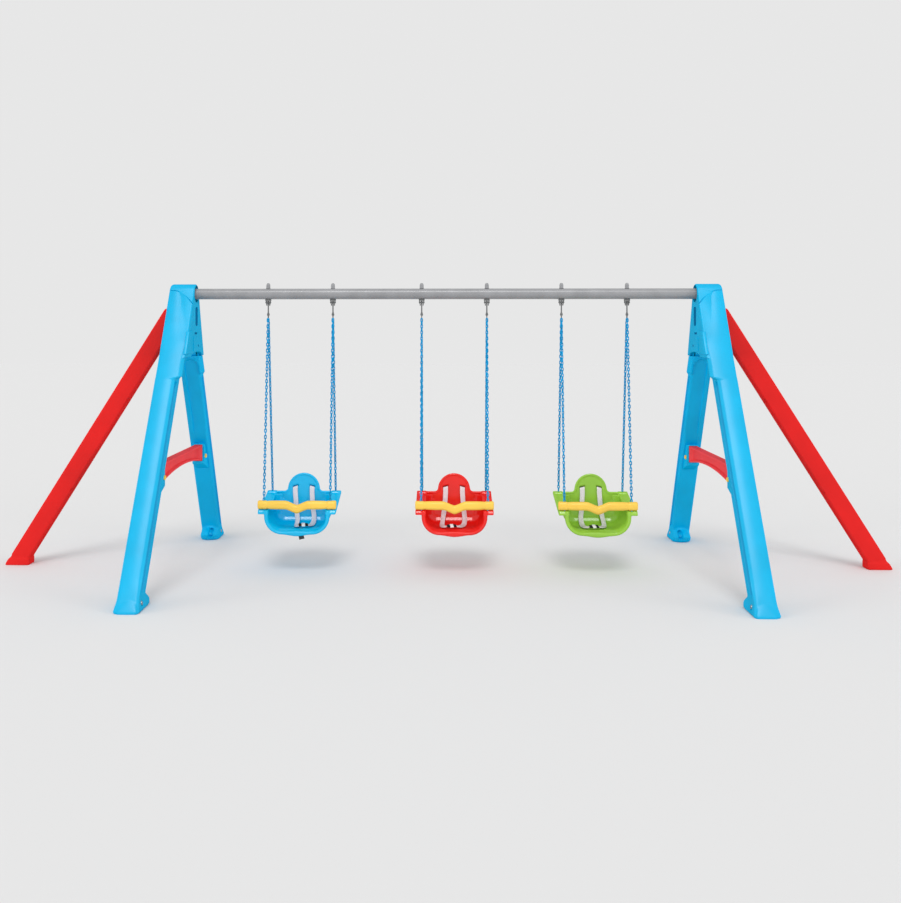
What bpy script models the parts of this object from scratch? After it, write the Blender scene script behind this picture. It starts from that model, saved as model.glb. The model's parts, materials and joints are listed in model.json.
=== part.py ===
"""A swing set for three toddlers: two moulded A-frames carry a steel beam, a brace steadies each
A-frame, and three bucket seats hang from the beam on chains.

Metres, +Z up, +X along the beam, the front towards -Y, and the origin on the ground under the
middle of the beam. Each seat swings about the pins of its two hangers. Its guard bar is threaded
on the two front chains, rests on the seat's armrests and slides up the chains to let a child in.
"""

import math

import bmesh
import bpy
from mathutils import Matrix, Vector

# Driving dimensions.
GAP = 0.0003  # between pieces that touch
FIT = 0.0004  # radial room of a shaft in its hole
BOLT_R = 0.004
BOLT_HOLE_R = 0.0045
SCREW_R = 0.0025
BEAM_Z = 1.440
BEAM_R = 0.028
BEAM_WALL = 0.0025
BEAM_HALF = 1.420

LEG_REACH = 0.878  # distance of a leg's outer sloping face from the middle, on the ground
LEG_SLOPE = 0.565  # how much nearer that face comes for each metre of height
LEG_DEPTH = 0.110  # horizontal, front to back
LEG_WALL = 0.005
LEG_OUT_X = 1.4535  # a leg's outer flank, on the ground
LEG_OUT_LEAN = 0.0170
LEG_IN_X = 1.354  # its inner flank, on the ground
LEG_IN_LEAN = 0.017
LEG_CORNER = 0.016
CHEEK_IN_X = 1.325  # the inner flank above the long groove
PANEL_IN_X = 1.302  # a front leg's inner edge there, at its outer face
CHEEK_Z = 1.020
FOOT_Z = 0.080
FOOT_BACK = 0.078
FOOT_SIDE = 0.009
SOLE = 0.014

CAP_Z = 1.112  # lower edge of the cap that joins the two legs
CAP_ARCH = 0.026
CAP_OUT_X = 1.4345
CAP_IN_X = 1.300
CAP_WALL = 0.008
CAP_PROUD = 0.0005
LEG_PLUG_Z = 1.160
TONGUE_Z = 1.220
TONGUE_INSET = 0.011

CROSSBAR_X = 1.391
CROSSBAR_HALF_X = 0.023
CROSSBAR_HALF = 0.445
CROSSBAR_TOP = 0.602
CROSSBAR_END = 0.100
CROSSBAR_MIDDLE = 0.058
LUG_Y = 0.398
LUG_HALF_X = 0.034
CAP_BOLT_Y = 0.420
CAP_BOLT_Z = 0.537

BRACE_Y = 0.075
BRACE_HALF_Y = 0.040
BRACE_WIDTH = 0.106  # horizontal, along X
BRACE_LAP = 0.045  # how far its level top reaches out from the cap
BRACE_WALL = 0.005
BRACE_SLOPE = 0.630  # outward run for each metre down
BRACE_TOP_Z = 1.365
BRACE_FOOT_Z = 0.036  # below it the foot's inner side is upright
TENON_Y = (0.049, 0.087)
TENON_Z = (1.262, 1.312)

SWINGS = {"left": -0.753, "middle": 0.052, "right": 0.780}
CHAIN_X = 0.170  # half the distance between a seat's two hangers
CHAIN_R = 0.0065
CHAIN_BORE = 0.0052  # leaves the chain's outer form about as heavy as its real links
PIN_Z = 1.396
PIN_R = 0.004
EYE_R = 0.0075
EYE_END_Z = 1.317
CHAIN_TOP = (0.008, 1.3160)  # distance from the middle and height
FRONT_CHAIN_FOOT = (-0.136, 0.3378)
REAR_CHAIN_FOOT = (0.132, 0.3894)

SEAT_FRONT_Y = -0.152  # puts the hanging weight under the hanger pins
SEAT_HALF = 0.1675
SEAT_BACK_HALF = 0.150
SEAT_WALL = 0.006
SEAT_RIM = 0.025
SEAT_LIP = 0.032
SEAT_BOTTOM = 0.207  # lower edge of the front rim
PAN_Z = 0.232  # underside of the pan behind the rim
BACK_Y = 0.106
BACK_THICK = 0.012
BACK_LEAN = 0.09
SHOULDER_Z = 0.388
ARCH_R = 0.085
ARCH_Z = 0.398
ARM_FRONT_Z = 0.336
ARM_OUT = 0.199
ARM_IN = 0.146
STRAP_X = 0.045
STRAP_TOP_Z = 0.409

BAR_HALF = 0.200
BAR_HEIGHT = 0.043
BAR_DEPTH = 0.038
BAR_WALL = 0.004
BAR_HOLLOW_HALF = 0.186
BAR_DIP = 0.0175
BAR_HOLE_R = 0.0085
STRAP_HALF = 0.012
STRAP_THICK = 0.0025

COLOURS = {
    "sky_plastic": ((0.000, 0.500, 0.880), 0.32, 0.0),
    "red_plastic": ((0.830, 0.022, 0.018), 0.32, 0.0),
    "green_plastic": ((0.267, 0.560, 0.050), 0.28, 0.0),
    "yellow_plastic": ((1.000, 0.640, 0.100), 0.30, 0.0),
    "grey_steel": ((0.310, 0.315, 0.330), 0.38, 0.9),
    "dark_steel": ((0.120, 0.130, 0.135), 0.40, 0.9),
    "chain_blue": ((0.014, 0.230, 0.500), 0.35, 0.0),
    "webbing": ((0.780, 0.760, 0.780), 0.80, 0.0),
}


def clear_scene():
    for obj in list(bpy.data.objects):
        bpy.data.objects.remove(obj)


def material(name):
    found = bpy.data.materials.get(name)
    if found:
        return found
    colour, roughness, metallic = COLOURS[name]
    made = bpy.data.materials.new(name)
    made.use_nodes = True
    shader = made.node_tree.nodes["Principled BSDF"]
    shader.inputs["Base Color"].default_value = (*colour, 1.0)
    shader.inputs["Roughness"].default_value = roughness
    shader.inputs["Metallic"].default_value = metallic
    made.diffuse_color = (*colour, 1.0)
    return made


def mesh_object(name, points, faces):
    """A closed mesh with its faces turned outward."""
    mesh = bpy.data.meshes.new(name)
    mesh.from_pydata([tuple(p) for p in points], [], faces)
    shape = bmesh.new()
    shape.from_mesh(mesh)
    bmesh.ops.remove_doubles(shape, verts=shape.verts, dist=1e-6)
    bmesh.ops.recalc_face_normals(shape, faces=shape.faces)
    shape.to_mesh(mesh)
    shape.free()
    obj = bpy.data.objects.new(name, mesh)
    bpy.context.scene.collection.objects.link(obj)
    return obj


def loft(name, rings):
    """A skin over rings of equally many points, with a face over each end."""
    count = len(rings[0])
    points = [p for ring in rings for p in ring]
    faces = [list(range(count)), list(range(len(points) - count, len(points)))]
    for level in range(len(rings) - 1):
        for i in range(count):
            j = (i + 1) % count
            low, high = level * count, (level + 1) * count
            faces.append([low + i, low + j, high + j, high + i])
    return mesh_object(name, points, faces)


def extrude(name, outline, start, end, place):
    """An outline swept from start to end; place(u, v, t) says where a point lies."""
    return loft(name, [[place(u, v, t) for u, v in outline] for t in (start, end)])


def upward(u, v, t):
    return u, v, t


def along_x(u, v, t):
    return t, u, v


def box(name, low, high):
    outline = [(low[0], low[1]), (high[0], low[1]), (high[0], high[1]), (low[0], high[1])]
    return extrude(name, outline, low[2], high[2], upward)


def rod(name, start, end, radius, sides=16):
    """A plain round bar between two points."""
    return turned(name, start, end, [(0.0, radius), (1.0, radius)], sides)


def turned(name, start, end, profile, sides=16):
    """A turned piece; the profile lists (share of the length, radius)."""
    start, end = Vector(start), Vector(end)
    axis = end - start
    turn = axis.to_track_quat("Z", "Y")
    rings = []
    for share, radius in profile:
        ring = []
        for i in range(sides):
            angle = 2 * math.pi * (i + 0.5) / sides
            spoke = turn @ Vector((radius * math.cos(angle), radius * math.sin(angle), 0.0))
            ring.append(start + axis * share + spoke)
        rings.append(ring)
    return loft(name, rings)


def bake(obj):
    """Turns the object's modifiers into plain mesh."""
    graph = bpy.context.evaluated_depsgraph_get()
    mesh = bpy.data.meshes.new_from_object(obj.evaluated_get(graph))
    obj.modifiers.clear()
    obj.data = mesh


def combine(target, tool, operation):
    modifier = target.modifiers.new("combine", "BOOLEAN")
    modifier.operation = operation
    modifier.solver = "EXACT"
    modifier.object = tool
    bake(target)
    bpy.data.objects.remove(tool)


def cut(target, tool):
    combine(target, tool, "DIFFERENCE")


def join(target, tool):
    combine(target, tool, "UNION")


def soften(obj, width, segments=2):
    """Rounds every edge sharper than 50 degrees."""
    modifier = obj.modifiers.new("soften", "BEVEL")
    modifier.width = width
    modifier.segments = segments
    modifier.limit_method = "ANGLE"
    modifier.angle_limit = math.radians(50)
    bake(obj)


def finish(obj, name, colour, smooth=True):
    obj.name = name
    obj.data.name = name
    obj.data.materials.clear()
    obj.data.materials.append(material(colour))
    if smooth:
        obj.data.shade_smooth()
        obj.data.set_sharp_from_angle(angle=math.radians(35))
    return obj


def rounded(low, high, radius, steps=2):
    """An outline of a rounded rectangle between two corners, anticlockwise."""
    corners = [
        (high[0] - radius, high[1] - radius, 0),
        (low[0] + radius, high[1] - radius, 90),
        (low[0] + radius, low[1] + radius, 180),
        (high[0] - radius, low[1] + radius, 270),
    ]
    outline = []
    for x, y, first in corners:
        for i in range(steps + 1):
            angle = math.radians(first + 90 * i / steps)
            outline.append((x + radius * math.cos(angle), y + radius * math.sin(angle)))
    return outline


def leg_face(z):
    """Distance from the middle of a leg's outer sloping face at height z."""
    return LEG_REACH - LEG_SLOPE * z


def leg_ring(side, face, z, inset=0.0, cheek=False):
    """A leg's outline at height z. side and face are -1 or 1: left or right, front or rear."""
    flare = max(0.0, 1.0 - z / FOOT_Z) ** 1.5
    out_x = LEG_OUT_X - LEG_OUT_LEAN * z + FOOT_SIDE * flare - inset
    in_x = LEG_IN_X - LEG_IN_LEAN * z - FOOT_SIDE * flare + inset
    if cheek:
        in_x = CHEEK_IN_X + inset
    far = leg_face(z) - inset
    near = leg_face(z) - LEG_DEPTH - FOOT_BACK * flare + inset
    outline = rounded((in_x, near), (out_x, far), max(0.004, LEG_CORNER - inset))
    if cheek and face < 0:
        wider = (CHEEK_IN_X - PANEL_IN_X) / LEG_DEPTH
        outline = [(x - wider * max(0.0, y - near) * (x < (in_x + out_x) / 2), y) for x, y in outline]
    return [(side * x, face * y, z) for x, y in outline]


def lug(side, face):
    """The block on a leg that takes a crossbar's end."""
    inner = leg_face(CROSSBAR_TOP) - LEG_DEPTH + 0.030
    top, bottom = CROSSBAR_TOP + 0.006, CROSSBAR_TOP - CROSSBAR_END - 0.008
    toe = bottom - 0.037
    outline = [(LUG_Y, bottom), (LUG_Y, top), (inner, top), (inner + 0.085, toe), (inner + 0.045, toe)]
    outline = [(face * y, z) for y, z in outline]
    ends = side * (CROSSBAR_X - LUG_HALF_X), side * (CROSSBAR_X + LUG_HALF_X)
    made = extrude("lug", outline, *ends, along_x)
    soften(made, 0.004)
    return made


def crossbar_outline(grow=0.0, clip=CROSSBAR_HALF, steps=10):
    """A crossbar seen from the side: level above and arched below."""
    below = []
    for i in range(steps + 1):
        y = clip * (2 * i / steps - 1)
        arch = CROSSBAR_MIDDLE + (CROSSBAR_END - CROSSBAR_MIDDLE) * (y / CROSSBAR_HALF) ** 2
        below.append((y, CROSSBAR_TOP - arch - grow))
    return below + [(clip, CROSSBAR_TOP + grow), (-clip, CROSSBAR_TOP + grow)]


def leg(side, face):
    """A hollow moulded leg with its foot, up to the cap."""
    levels = [(0.0, 0.005), (0.008, 0.0), (0.030, 0.0), (0.055, 0.0), (FOOT_Z, 0.0)]
    rings = [leg_ring(side, face, z, inset) for z, inset in levels]
    rings.append(leg_ring(side, face, CHEEK_Z - 0.012))
    rings.append(leg_ring(side, face, CHEEK_Z + 0.012, cheek=True))
    if face < 0:
        rings.append(leg_ring(side, face, LEG_PLUG_Z, inset=0.002, cheek=True))
    else:
        shoulder = CAP_Z - 0.005
        rings.append(leg_ring(side, face, shoulder, cheek=True))
        rings.append(leg_ring(side, face, shoulder, TONGUE_INSET, cheek=True))
        rings.append(leg_ring(side, face, TONGUE_Z, TONGUE_INSET, cheek=True))
    made = loft("leg", rings)
    join(made, lug(side, face))
    hollow = [SOLE, FOOT_Z, CHEEK_Z]
    cut(made, loft("hollow", [leg_ring(side, face, z, LEG_WALL) for z in hollow]))
    room = CROSSBAR_HALF_X + GAP
    outline = crossbar_outline(grow=GAP * 2, clip=CROSSBAR_HALF + GAP * 2)
    cut(made, extrude("pocket", outline, side * (CROSSBAR_X - room), side * (CROSSBAR_X + room), along_x))
    start = (side * (CROSSBAR_X - LUG_HALF_X - 0.01), face * CAP_BOLT_Y, CAP_BOLT_Z)
    end = (side * (CROSSBAR_X + LUG_HALF_X - 0.004), face * CAP_BOLT_Y, CAP_BOLT_Z)
    cut(made, rod("hole", start, end, BOLT_HOLE_R))
    cut(made, rod("hole", *anchor_line(side, face, -0.010, 0.030), SCREW_R + FIT, 12))
    return made


def anchor_line(side, face, out, into):
    """Two points on an anchor screw's axis, across the inner flank of a foot."""
    y, z = face * (leg_face(0.0) - 0.075), 0.033
    flank = LEG_IN_X - 0.004
    return (side * (flank + out), y, z), (side * (flank + into), y, z)


def cap_radius(inset):
    """Radius of the cap's round top, which the legs' sloping faces touch."""
    return leg_face(BEAM_Z) * math.cos(math.atan(LEG_SLOPE)) + CAP_PROUD - inset


def beam_bolt_point(side, out):
    """A point on a beam bolt's axis, square to the rear slope of the cap."""
    lean = math.atan(LEG_SLOPE)
    return side * (BEAM_HALF - 0.040), out * math.cos(lean), BEAM_Z + out * math.sin(lean)


def cap_outline(inset, foot, steps=8):
    """The cap seen from the side: round over the beam, straight down both legs."""
    lean = math.atan(LEG_SLOPE)
    radius = cap_radius(inset)
    outline = []
    for i in range(steps + 1):
        angle = lean + (math.pi - 2 * lean) * i / steps
        outline.append((radius * math.cos(angle), BEAM_Z + radius * math.sin(angle)))
    edge = leg_face(foot) + (CAP_PROUD - inset) / math.cos(lean)
    below = []
    for i in range(steps + 1):
        share = 2 * i / steps - 1
        below.append((edge * share, foot + CAP_ARCH * (1 - share * share)))
    return outline + below


def cap(side):
    """The hollow cap over both legs, with the boss that holds the beam."""
    made = extrude("cap", cap_outline(0.0, CAP_Z), side * CAP_IN_X, side * CAP_OUT_X, along_x)
    soften(made, 0.006)
    ends = side * (CAP_IN_X + CAP_WALL), side * (CAP_OUT_X - CAP_WALL)
    cut(made, extrude("space", cap_outline(CAP_WALL, CAP_Z - 0.060), *ends, along_x))
    boss = (side * (CAP_IN_X + 0.003), 0, BEAM_Z), (side * (CAP_OUT_X - 0.003), 0, BEAM_Z)
    join(made, rod("boss", *boss, BEAM_R + 0.006, 24))
    return made


def front_leg(side, name):
    """The front leg carries the cap that the rear leg plugs into."""
    made = leg(side, -1)
    join(made, cap(side))
    bore = (side * (CAP_IN_X - 0.02), 0, BEAM_Z), (side * (BEAM_HALF + 0.001), 0, BEAM_Z)
    cut(made, rod("bore", *bore, BEAM_R + 2 * FIT, 24))
    cut(made, rod("hole", beam_bolt_point(side, 0.0), beam_bolt_point(side, 0.09), BOLT_HOLE_R))
    low, high = tenon_corners(side, GAP * 2)
    cut(made, box("mortise", low, high))
    return finish(made, name, "sky_plastic")


def tenon_corners(side, grow):
    """Corners of the tenon by which a brace hooks into the cap's outer wall."""
    xs = sorted((side * (CAP_OUT_X - CAP_WALL - 0.006), side * (CAP_OUT_X + 0.006)))
    low = (xs[0] - grow, TENON_Y[0] - grow, TENON_Z[0] - grow)
    high = (xs[1] + grow, TENON_Y[1] + grow, TENON_Z[1] + grow)
    return low, high


def brace(side, name):
    """A hollow brace that leans on the cap's outer face and stands on an upright foot."""
    face_x = CAP_OUT_X + GAP * 2

    def upper(z):
        return face_x + BRACE_LAP + (BRACE_TOP_Z - z) * BRACE_SLOPE

    def ring(z, inset=0.0):
        outer = upper(z) - inset
        inner = max(upper(max(z, BRACE_FOOT_Z)) - BRACE_WIDTH + inset, face_x + inset)
        low = BRACE_Y - BRACE_HALF_Y + inset
        high = BRACE_Y + BRACE_HALF_Y - inset
        outline = rounded((inner, low), (outer, high), max(0.004, 0.012 - inset))
        return [(side * x, y, z) for x, y in outline]

    corner_z = BRACE_TOP_Z - (BRACE_WIDTH - BRACE_LAP) / BRACE_SLOPE
    rings = [ring(0.0, 0.004), ring(0.006), ring(BRACE_FOOT_Z), ring(corner_z)]
    rings += [ring(BRACE_TOP_Z - 0.012), ring(BRACE_TOP_Z, 0.005)]
    made = loft("brace", rings)
    cut(made, loft("hollow", [ring(z, BRACE_WALL) for z in (SOLE, BRACE_FOOT_Z, corner_z)]))
    drain = (side * (upper(SOLE) - 0.05), BRACE_Y, -0.01), (side * (upper(SOLE) - 0.05), BRACE_Y, 0.03)
    cut(made, rod("drain", *drain, 0.006, 12))
    join(made, box("tenon", *tenon_corners(side, 0.0)))
    return finish(made, name, "red_plastic")


def crossbar(side, name):
    """An arched bar with a web recessed on both sides, its ends held in the legs' lugs."""
    middle = side * CROSSBAR_X
    ends = middle - CROSSBAR_HALF_X, middle + CROSSBAR_HALF_X
    made = extrude("crossbar", crossbar_outline(), *ends, along_x)
    recess = crossbar_outline(grow=-0.010, clip=LUG_Y - 0.030)
    for near, far in ((-0.03, -0.006), (0.006, 0.03)):
        cut(made, extrude("recess", recess, middle + near, middle + far, along_x))
    for face in (-1, 1):
        start = (middle - 0.04, face * CAP_BOLT_Y, CAP_BOLT_Z)
        end = (middle + 0.04, face * CAP_BOLT_Y, CAP_BOLT_Z)
        cut(made, rod("hole", start, end, BOLT_HOLE_R))
    return finish(made, name, "red_plastic")


def headed_bolt(name, colour, seat, tip, head, shank_r):
    """A domed head outside seat, and a plain shank from seat to tip. head is (radius, height)."""
    seat, tip = Vector(seat), Vector(tip)
    out = (seat - tip).normalized()
    radius, height = head
    dome = [(0.0, radius), (0.4, radius), (1.0, radius * 0.55)]
    made = turned("dome", seat + out * GAP, seat + out * (GAP + height), dome, 12)
    join(made, rod("shank", seat + out * height * 0.5, tip, shank_r, 10))
    return finish(made, name, colour)


def frame_bolts(side, hand):
    """The bolts in one A-frame: two in the crossbar, one in the beam, one screw in each foot."""
    for face, where in ((-1, "front"), (1, "rear")):
        seat = (side * (CROSSBAR_X - LUG_HALF_X), face * CAP_BOLT_Y, CAP_BOLT_Z)
        tip = (side * (CROSSBAR_X + LUG_HALF_X - 0.006), face * CAP_BOLT_Y, CAP_BOLT_Z)
        headed_bolt(f"{hand}_{where}_cap_bolt", "yellow_plastic", seat, tip, (0.0115, 0.009), BOLT_R)
        start, end = anchor_line(side, face, -0.0035, 0.020)
        headed_bolt(f"{hand}_{where}_anchor_screw", "grey_steel", start, end, (0.008, 0.004), SCREW_R)
    seat, tip = beam_bolt_point(side, cap_radius(0.0)), beam_bolt_point(side, -0.010)
    headed_bolt(f"{hand}_beam_bolt", "grey_steel", seat, tip, (0.0095, 0.006), BOLT_R)


def beam():
    """A steel tube, open at both ends, with a cross hole for each bolt."""
    ends = (-BEAM_HALF, 0, BEAM_Z), (BEAM_HALF, 0, BEAM_Z)
    made = rod("beam", *ends, BEAM_R, 24)
    inside = (-BEAM_HALF - 0.01, 0, BEAM_Z), (BEAM_HALF + 0.01, 0, BEAM_Z)
    cut(made, rod("inside", *inside, BEAM_R - BEAM_WALL, 16))
    for centre in SWINGS.values():
        for side in (-1, 1):
            x = centre + side * CHAIN_X
            hole = (x, 0, BEAM_Z - 0.04), (x, 0, BEAM_Z + 0.04)
            cut(made, rod("hole", *hole, BOLT_HOLE_R, 8))
    for side in (-1, 1):
        ends = beam_bolt_point(side, 0.0), beam_bolt_point(side, 0.04)
        cut(made, rod("hole", *ends, BOLT_HOLE_R, 8))
    return finish(made, "beam", "grey_steel")


def hanger_bolt(x, name):
    """Through the beam: a cap nut above it, a flat head under the clevis plate."""
    top = BEAM_Z + BEAM_R + GAP
    under = BEAM_Z - BEAM_R - GAP - 0.003 - GAP
    nut = [(0.0, 0.0105), (0.45, 0.0105), (1.0, 0.0055)]
    made = turned("nut", (x, 0, top), (x, 0, top + 0.024), nut, 12)
    join(made, rod("shank", (x, 0, under - 0.001), (x, 0, top + 0.004), BOLT_R, 8))
    join(made, rod("head", (x, 0, under - 0.0035), (x, 0, under), 0.007, 10))
    return finish(made, name, "grey_steel")


def clevis(x, name):
    """A plate under the beam with two ears that close in on a fixed pin."""
    top = BEAM_Z - BEAM_R - GAP
    plate = rounded((x - 0.0175, -0.013), (x + 0.0175, 0.013), 0.004, 1)
    made = extrude("clevis", plate, top - 0.003, top, upward)
    ear = ((0.012, 0.0170, top - 0.001), (0.010, 0.0125, PIN_Z), (0.005, 0.0105, PIN_Z - 0.017))
    for side in (-1, 1):
        rings = []
        for half_y, out, z in ear:
            low = x + side * (out - 0.003)
            high = x + side * out
            rings.append([(low, -half_y, z), (high, -half_y, z), (high, half_y, z), (low, half_y, z)])
        join(made, loft("ear", rings))
    join(made, rod("pin", (x - 0.0125, 0, PIN_Z), (x + 0.0125, 0, PIN_Z), PIN_R, 12))
    cut(made, rod("hole", (x, 0, top - 0.01), (x, 0, top + 0.01), BOLT_HOLE_R, 8))
    return finish(made, name, "dark_steel")


def eye(name):
    """A swivelling eye: a ring round the clevis pin, a stem and a loop for the chains."""
    made = rod("ring", (-0.004, 0, PIN_Z), (0.004, 0, PIN_Z), EYE_R, 12)
    join(made, rod("stem", (0, 0, PIN_Z - EYE_R + 0.002), (0, 0, EYE_END_Z + 0.016), 0.003, 8))
    join(made, rod("loop", (0, -0.003, EYE_END_Z + 0.009), (0, 0.003, EYE_END_Z + 0.009), 0.009, 12))
    cut(made, rod("hole", (-0.01, 0, PIN_Z), (0.01, 0, PIN_Z), PIN_R + FIT, 12))
    cut(made, rod("hole", (0, -0.01, EYE_END_Z + 0.009), (0, 0.01, EYE_END_Z + 0.009), 0.005, 8))
    return finish(made, name, "dark_steel")


def chain_ends(face):
    """The top and the foot of a front (-1) or rear (1) chain, in a seat's middle plane."""
    foot = FRONT_CHAIN_FOOT if face < 0 else REAR_CHAIN_FOOT
    return Vector((0, face * CHAIN_TOP[0], CHAIN_TOP[1])), Vector((0, *foot))


def chain(face, name):
    """The outer form of one chain."""
    top, foot = chain_ends(face)
    past = (top - foot) * 0.01
    made = rod("chain", top, foot, CHAIN_R, 8)
    cut(made, rod("bore", top + past, foot - past, CHAIN_BORE, 8))
    return finish(made, name, "chain_blue")


def trough_ring(y, half, bottom, top, wall, floor, radius, steps=5):
    """A U seen from the front, as a closed outline with walls and a floor of those thicknesses."""

    def arm(half_width, lowest, corner):
        points = [(-half_width, top)]
        for centre, first in ((-half_width + corner, 180), (half_width - corner, 270)):
            for i in range(steps + 1):
                angle = math.radians(first + 90 * i / steps)
                points.append((centre + corner * math.cos(angle), lowest + corner * (1 + math.sin(angle))))
        return points + [(half_width, top)]

    outside = arm(half, bottom, radius)
    inside = arm(half - wall, bottom + floor, radius - wall)
    return [(x, y, z) for x, z in outside + inside[::-1]]


def back_outline(steps=10):
    """The backrest seen from the front: a U below, shoulders, and a round arch on top."""
    half, corner, bottom = SEAT_BACK_HALF + 0.002, 0.062, PAN_Z + 0.006
    points = []
    for centre, first in ((-half + corner, 180), (half - corner, 270)):
        for i in range(6):
            angle = math.radians(first + 18 * i)
            points.append((centre + corner * math.cos(angle), bottom + corner * (1 + math.sin(angle))))
    points += [(half + 0.020, SHOULDER_Z - 0.030), (half + 0.020, SHOULDER_Z - 0.006)]
    points += [(half + 0.014, SHOULDER_Z), (ARCH_R + 0.016, SHOULDER_Z)]
    for i in range(steps + 1):
        angle = math.pi * i / steps
        points.append((ARCH_R * math.cos(angle), ARCH_Z + ARCH_R * math.sin(angle)))
    points += [(-ARCH_R - 0.016, SHOULDER_Z), (-half - 0.014, SHOULDER_Z)]
    points += [(-half - 0.020, SHOULDER_Z - 0.006), (-half - 0.020, SHOULDER_Z - 0.030)]
    return points


def leaning(u, v, t):
    return u, BACK_Y + t + (v - PAN_Z) * BACK_LEAN, v


def seat(name, colour):
    """A bucket seat: a trough with a thick front rim, a backrest and two armrests."""
    rings = [
        trough_ring(SEAT_FRONT_Y, SEAT_HALF - 0.004, SEAT_BOTTOM + 0.004, 0.330, 0.017, 0.024, 0.081),
        trough_ring(SEAT_FRONT_Y + 0.005, SEAT_HALF, SEAT_BOTTOM, 0.332, SEAT_RIM, SEAT_LIP, 0.085),
        trough_ring(SEAT_FRONT_Y + 0.020, SEAT_HALF, SEAT_BOTTOM, 0.333, SEAT_RIM, SEAT_LIP, 0.085),
        trough_ring(SEAT_FRONT_Y + 0.036, 0.1620, PAN_Z, 0.334, SEAT_WALL, SEAT_WALL, 0.074),
        trough_ring(-0.012, 0.1590, PAN_Z + 0.001, 0.345, SEAT_WALL, SEAT_WALL, 0.064),
        trough_ring(BACK_Y + 0.006, SEAT_BACK_HALF, PAN_Z + 0.008, 0.378, SEAT_WALL, SEAT_WALL, 0.062),
    ]
    made = loft("trough", rings)
    join(made, extrude("back", back_outline(), 0.0, BACK_THICK, leaning))
    stations = ((SEAT_FRONT_Y, ARM_FRONT_Z, 0.021), (-0.092, ARM_FRONT_Z, 0.016), (0.148, SHOULDER_Z, 0.016))
    for side in (-1, 1):
        rings = []
        for y, top, thick in stations:
            inner, outer = side * ARM_IN, side * ARM_OUT
            low = top - thick
            rings.append([(inner, y, top), (outer, y, top), (outer, y, low), (inner, y, low)])
        arm = loft("arm", rings)
        soften(arm, 0.004, 1)
        join(made, arm)
    return finish(made, name, colour)


def bar_ring(x, inset=0.0):
    """The guard bar's section at x: it dips in the middle and bows a little forward."""
    bend = max(0.0, 1.0 - abs(x) / 0.060)
    dip = BAR_DIP * bend * bend * (3 - 2 * bend)
    bow = 0.010 * (1 - (x / BAR_HALF) ** 2)
    middle_z = ARM_FRONT_Z + GAP + BAR_HEIGHT / 2 - dip
    middle_y = FRONT_CHAIN_FOOT[0] + BAR_HEIGHT / 2 * 0.14 - bow
    half_y, half_z = BAR_DEPTH / 2 - inset, BAR_HEIGHT / 2 - inset
    outline = rounded((-half_y, -half_z), (half_y, half_z), 0.014 - inset)
    return [(x, middle_y + y, middle_z + z) for y, z in outline]


def guard_bar(name):
    """A hollow bar with a hole through each end for a front chain."""
    xs = [-0.200, -0.195, -0.150, -0.060, -0.044, -0.030, -0.014, 0.0]
    xs = xs + [-x for x in reversed(xs[:-1])]
    rings = [bar_ring(x, 0.005 if abs(x) == BAR_HALF else 0.0) for x in xs]
    made = loft("bar", rings)
    inner_xs = [-BAR_HOLLOW_HALF] + xs[2:-2] + [BAR_HOLLOW_HALF]
    cut(made, loft("hollow", [bar_ring(x, BAR_WALL) for x in inner_xs]))
    top, foot = chain_ends(-1)
    along = (top - foot).normalized()
    for side in (-1, 1):
        middle = foot + along * 0.02 + Vector((side * CHAIN_X, 0, 0))
        cut(made, rod("hole", middle - along * 0.05, middle + along * 0.05, BAR_HOLE_R, 10))
    return finish(made, name, "yellow_plastic")


def strap(side):
    """One shoulder strap: down the backrest, out at the crease, in along the pan."""

    def lean(z):
        return BACK_Y + (z - PAN_Z) * BACK_LEAN - 0.004

    pan = PAN_Z + SEAT_WALL + 0.004
    route = [
        (STRAP_X, lean(STRAP_TOP_Z), STRAP_TOP_Z),
        (0.046, lean(0.340) - 0.003, 0.340),
        (0.050, lean(0.290) - 0.006, 0.290),
        (0.058, 0.083, pan + 0.020),
        (0.060, 0.036, pan + 0.007),
        (0.055, -0.034, pan + 0.004),
        (0.038, -0.078, pan + 0.004),
        (0.014, -0.097, pan + 0.005),
    ]
    points = [Vector(p) for p in route]
    rings = []
    for i, here in enumerate(points):
        run = points[min(i + 1, len(points) - 1)] - points[max(i - 1, 0)]
        wide = Vector((1, 0, 0)) - run * (run.x / run.length_squared)
        wide = wide.normalized() * STRAP_HALF
        up = run.cross(wide).normalized() * STRAP_THICK / 2
        rings.append([here - wide - up, here + wide - up, here + wide + up, here - wide + up])
    return loft("strap", [[(side * p.x, p.y, p.z) for p in ring] for ring in rings])


def harness(name):
    """Two shoulder straps that meet in a buckle on the pan."""
    pan = PAN_Z + SEAT_WALL + 0.004
    made = box("buckle", (-0.026, -0.112, pan - 0.002), (0.026, -0.082, pan + 0.010))
    for side in (-1, 1):
        join(made, strap(side))
    return finish(made, name, "webbing")


def hang(obj, name, pivot, offset=(0, 0, 0)):
    """Moves a piece modelled about X = 0 to its swing, with its origin on the hanger pins' line."""
    obj.name = name
    obj.data = obj.data.copy()
    obj.data.transform(Matrix.Translation(Vector(offset) - Vector((0, 0, PIN_Z))))
    obj.parent = pivot


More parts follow.
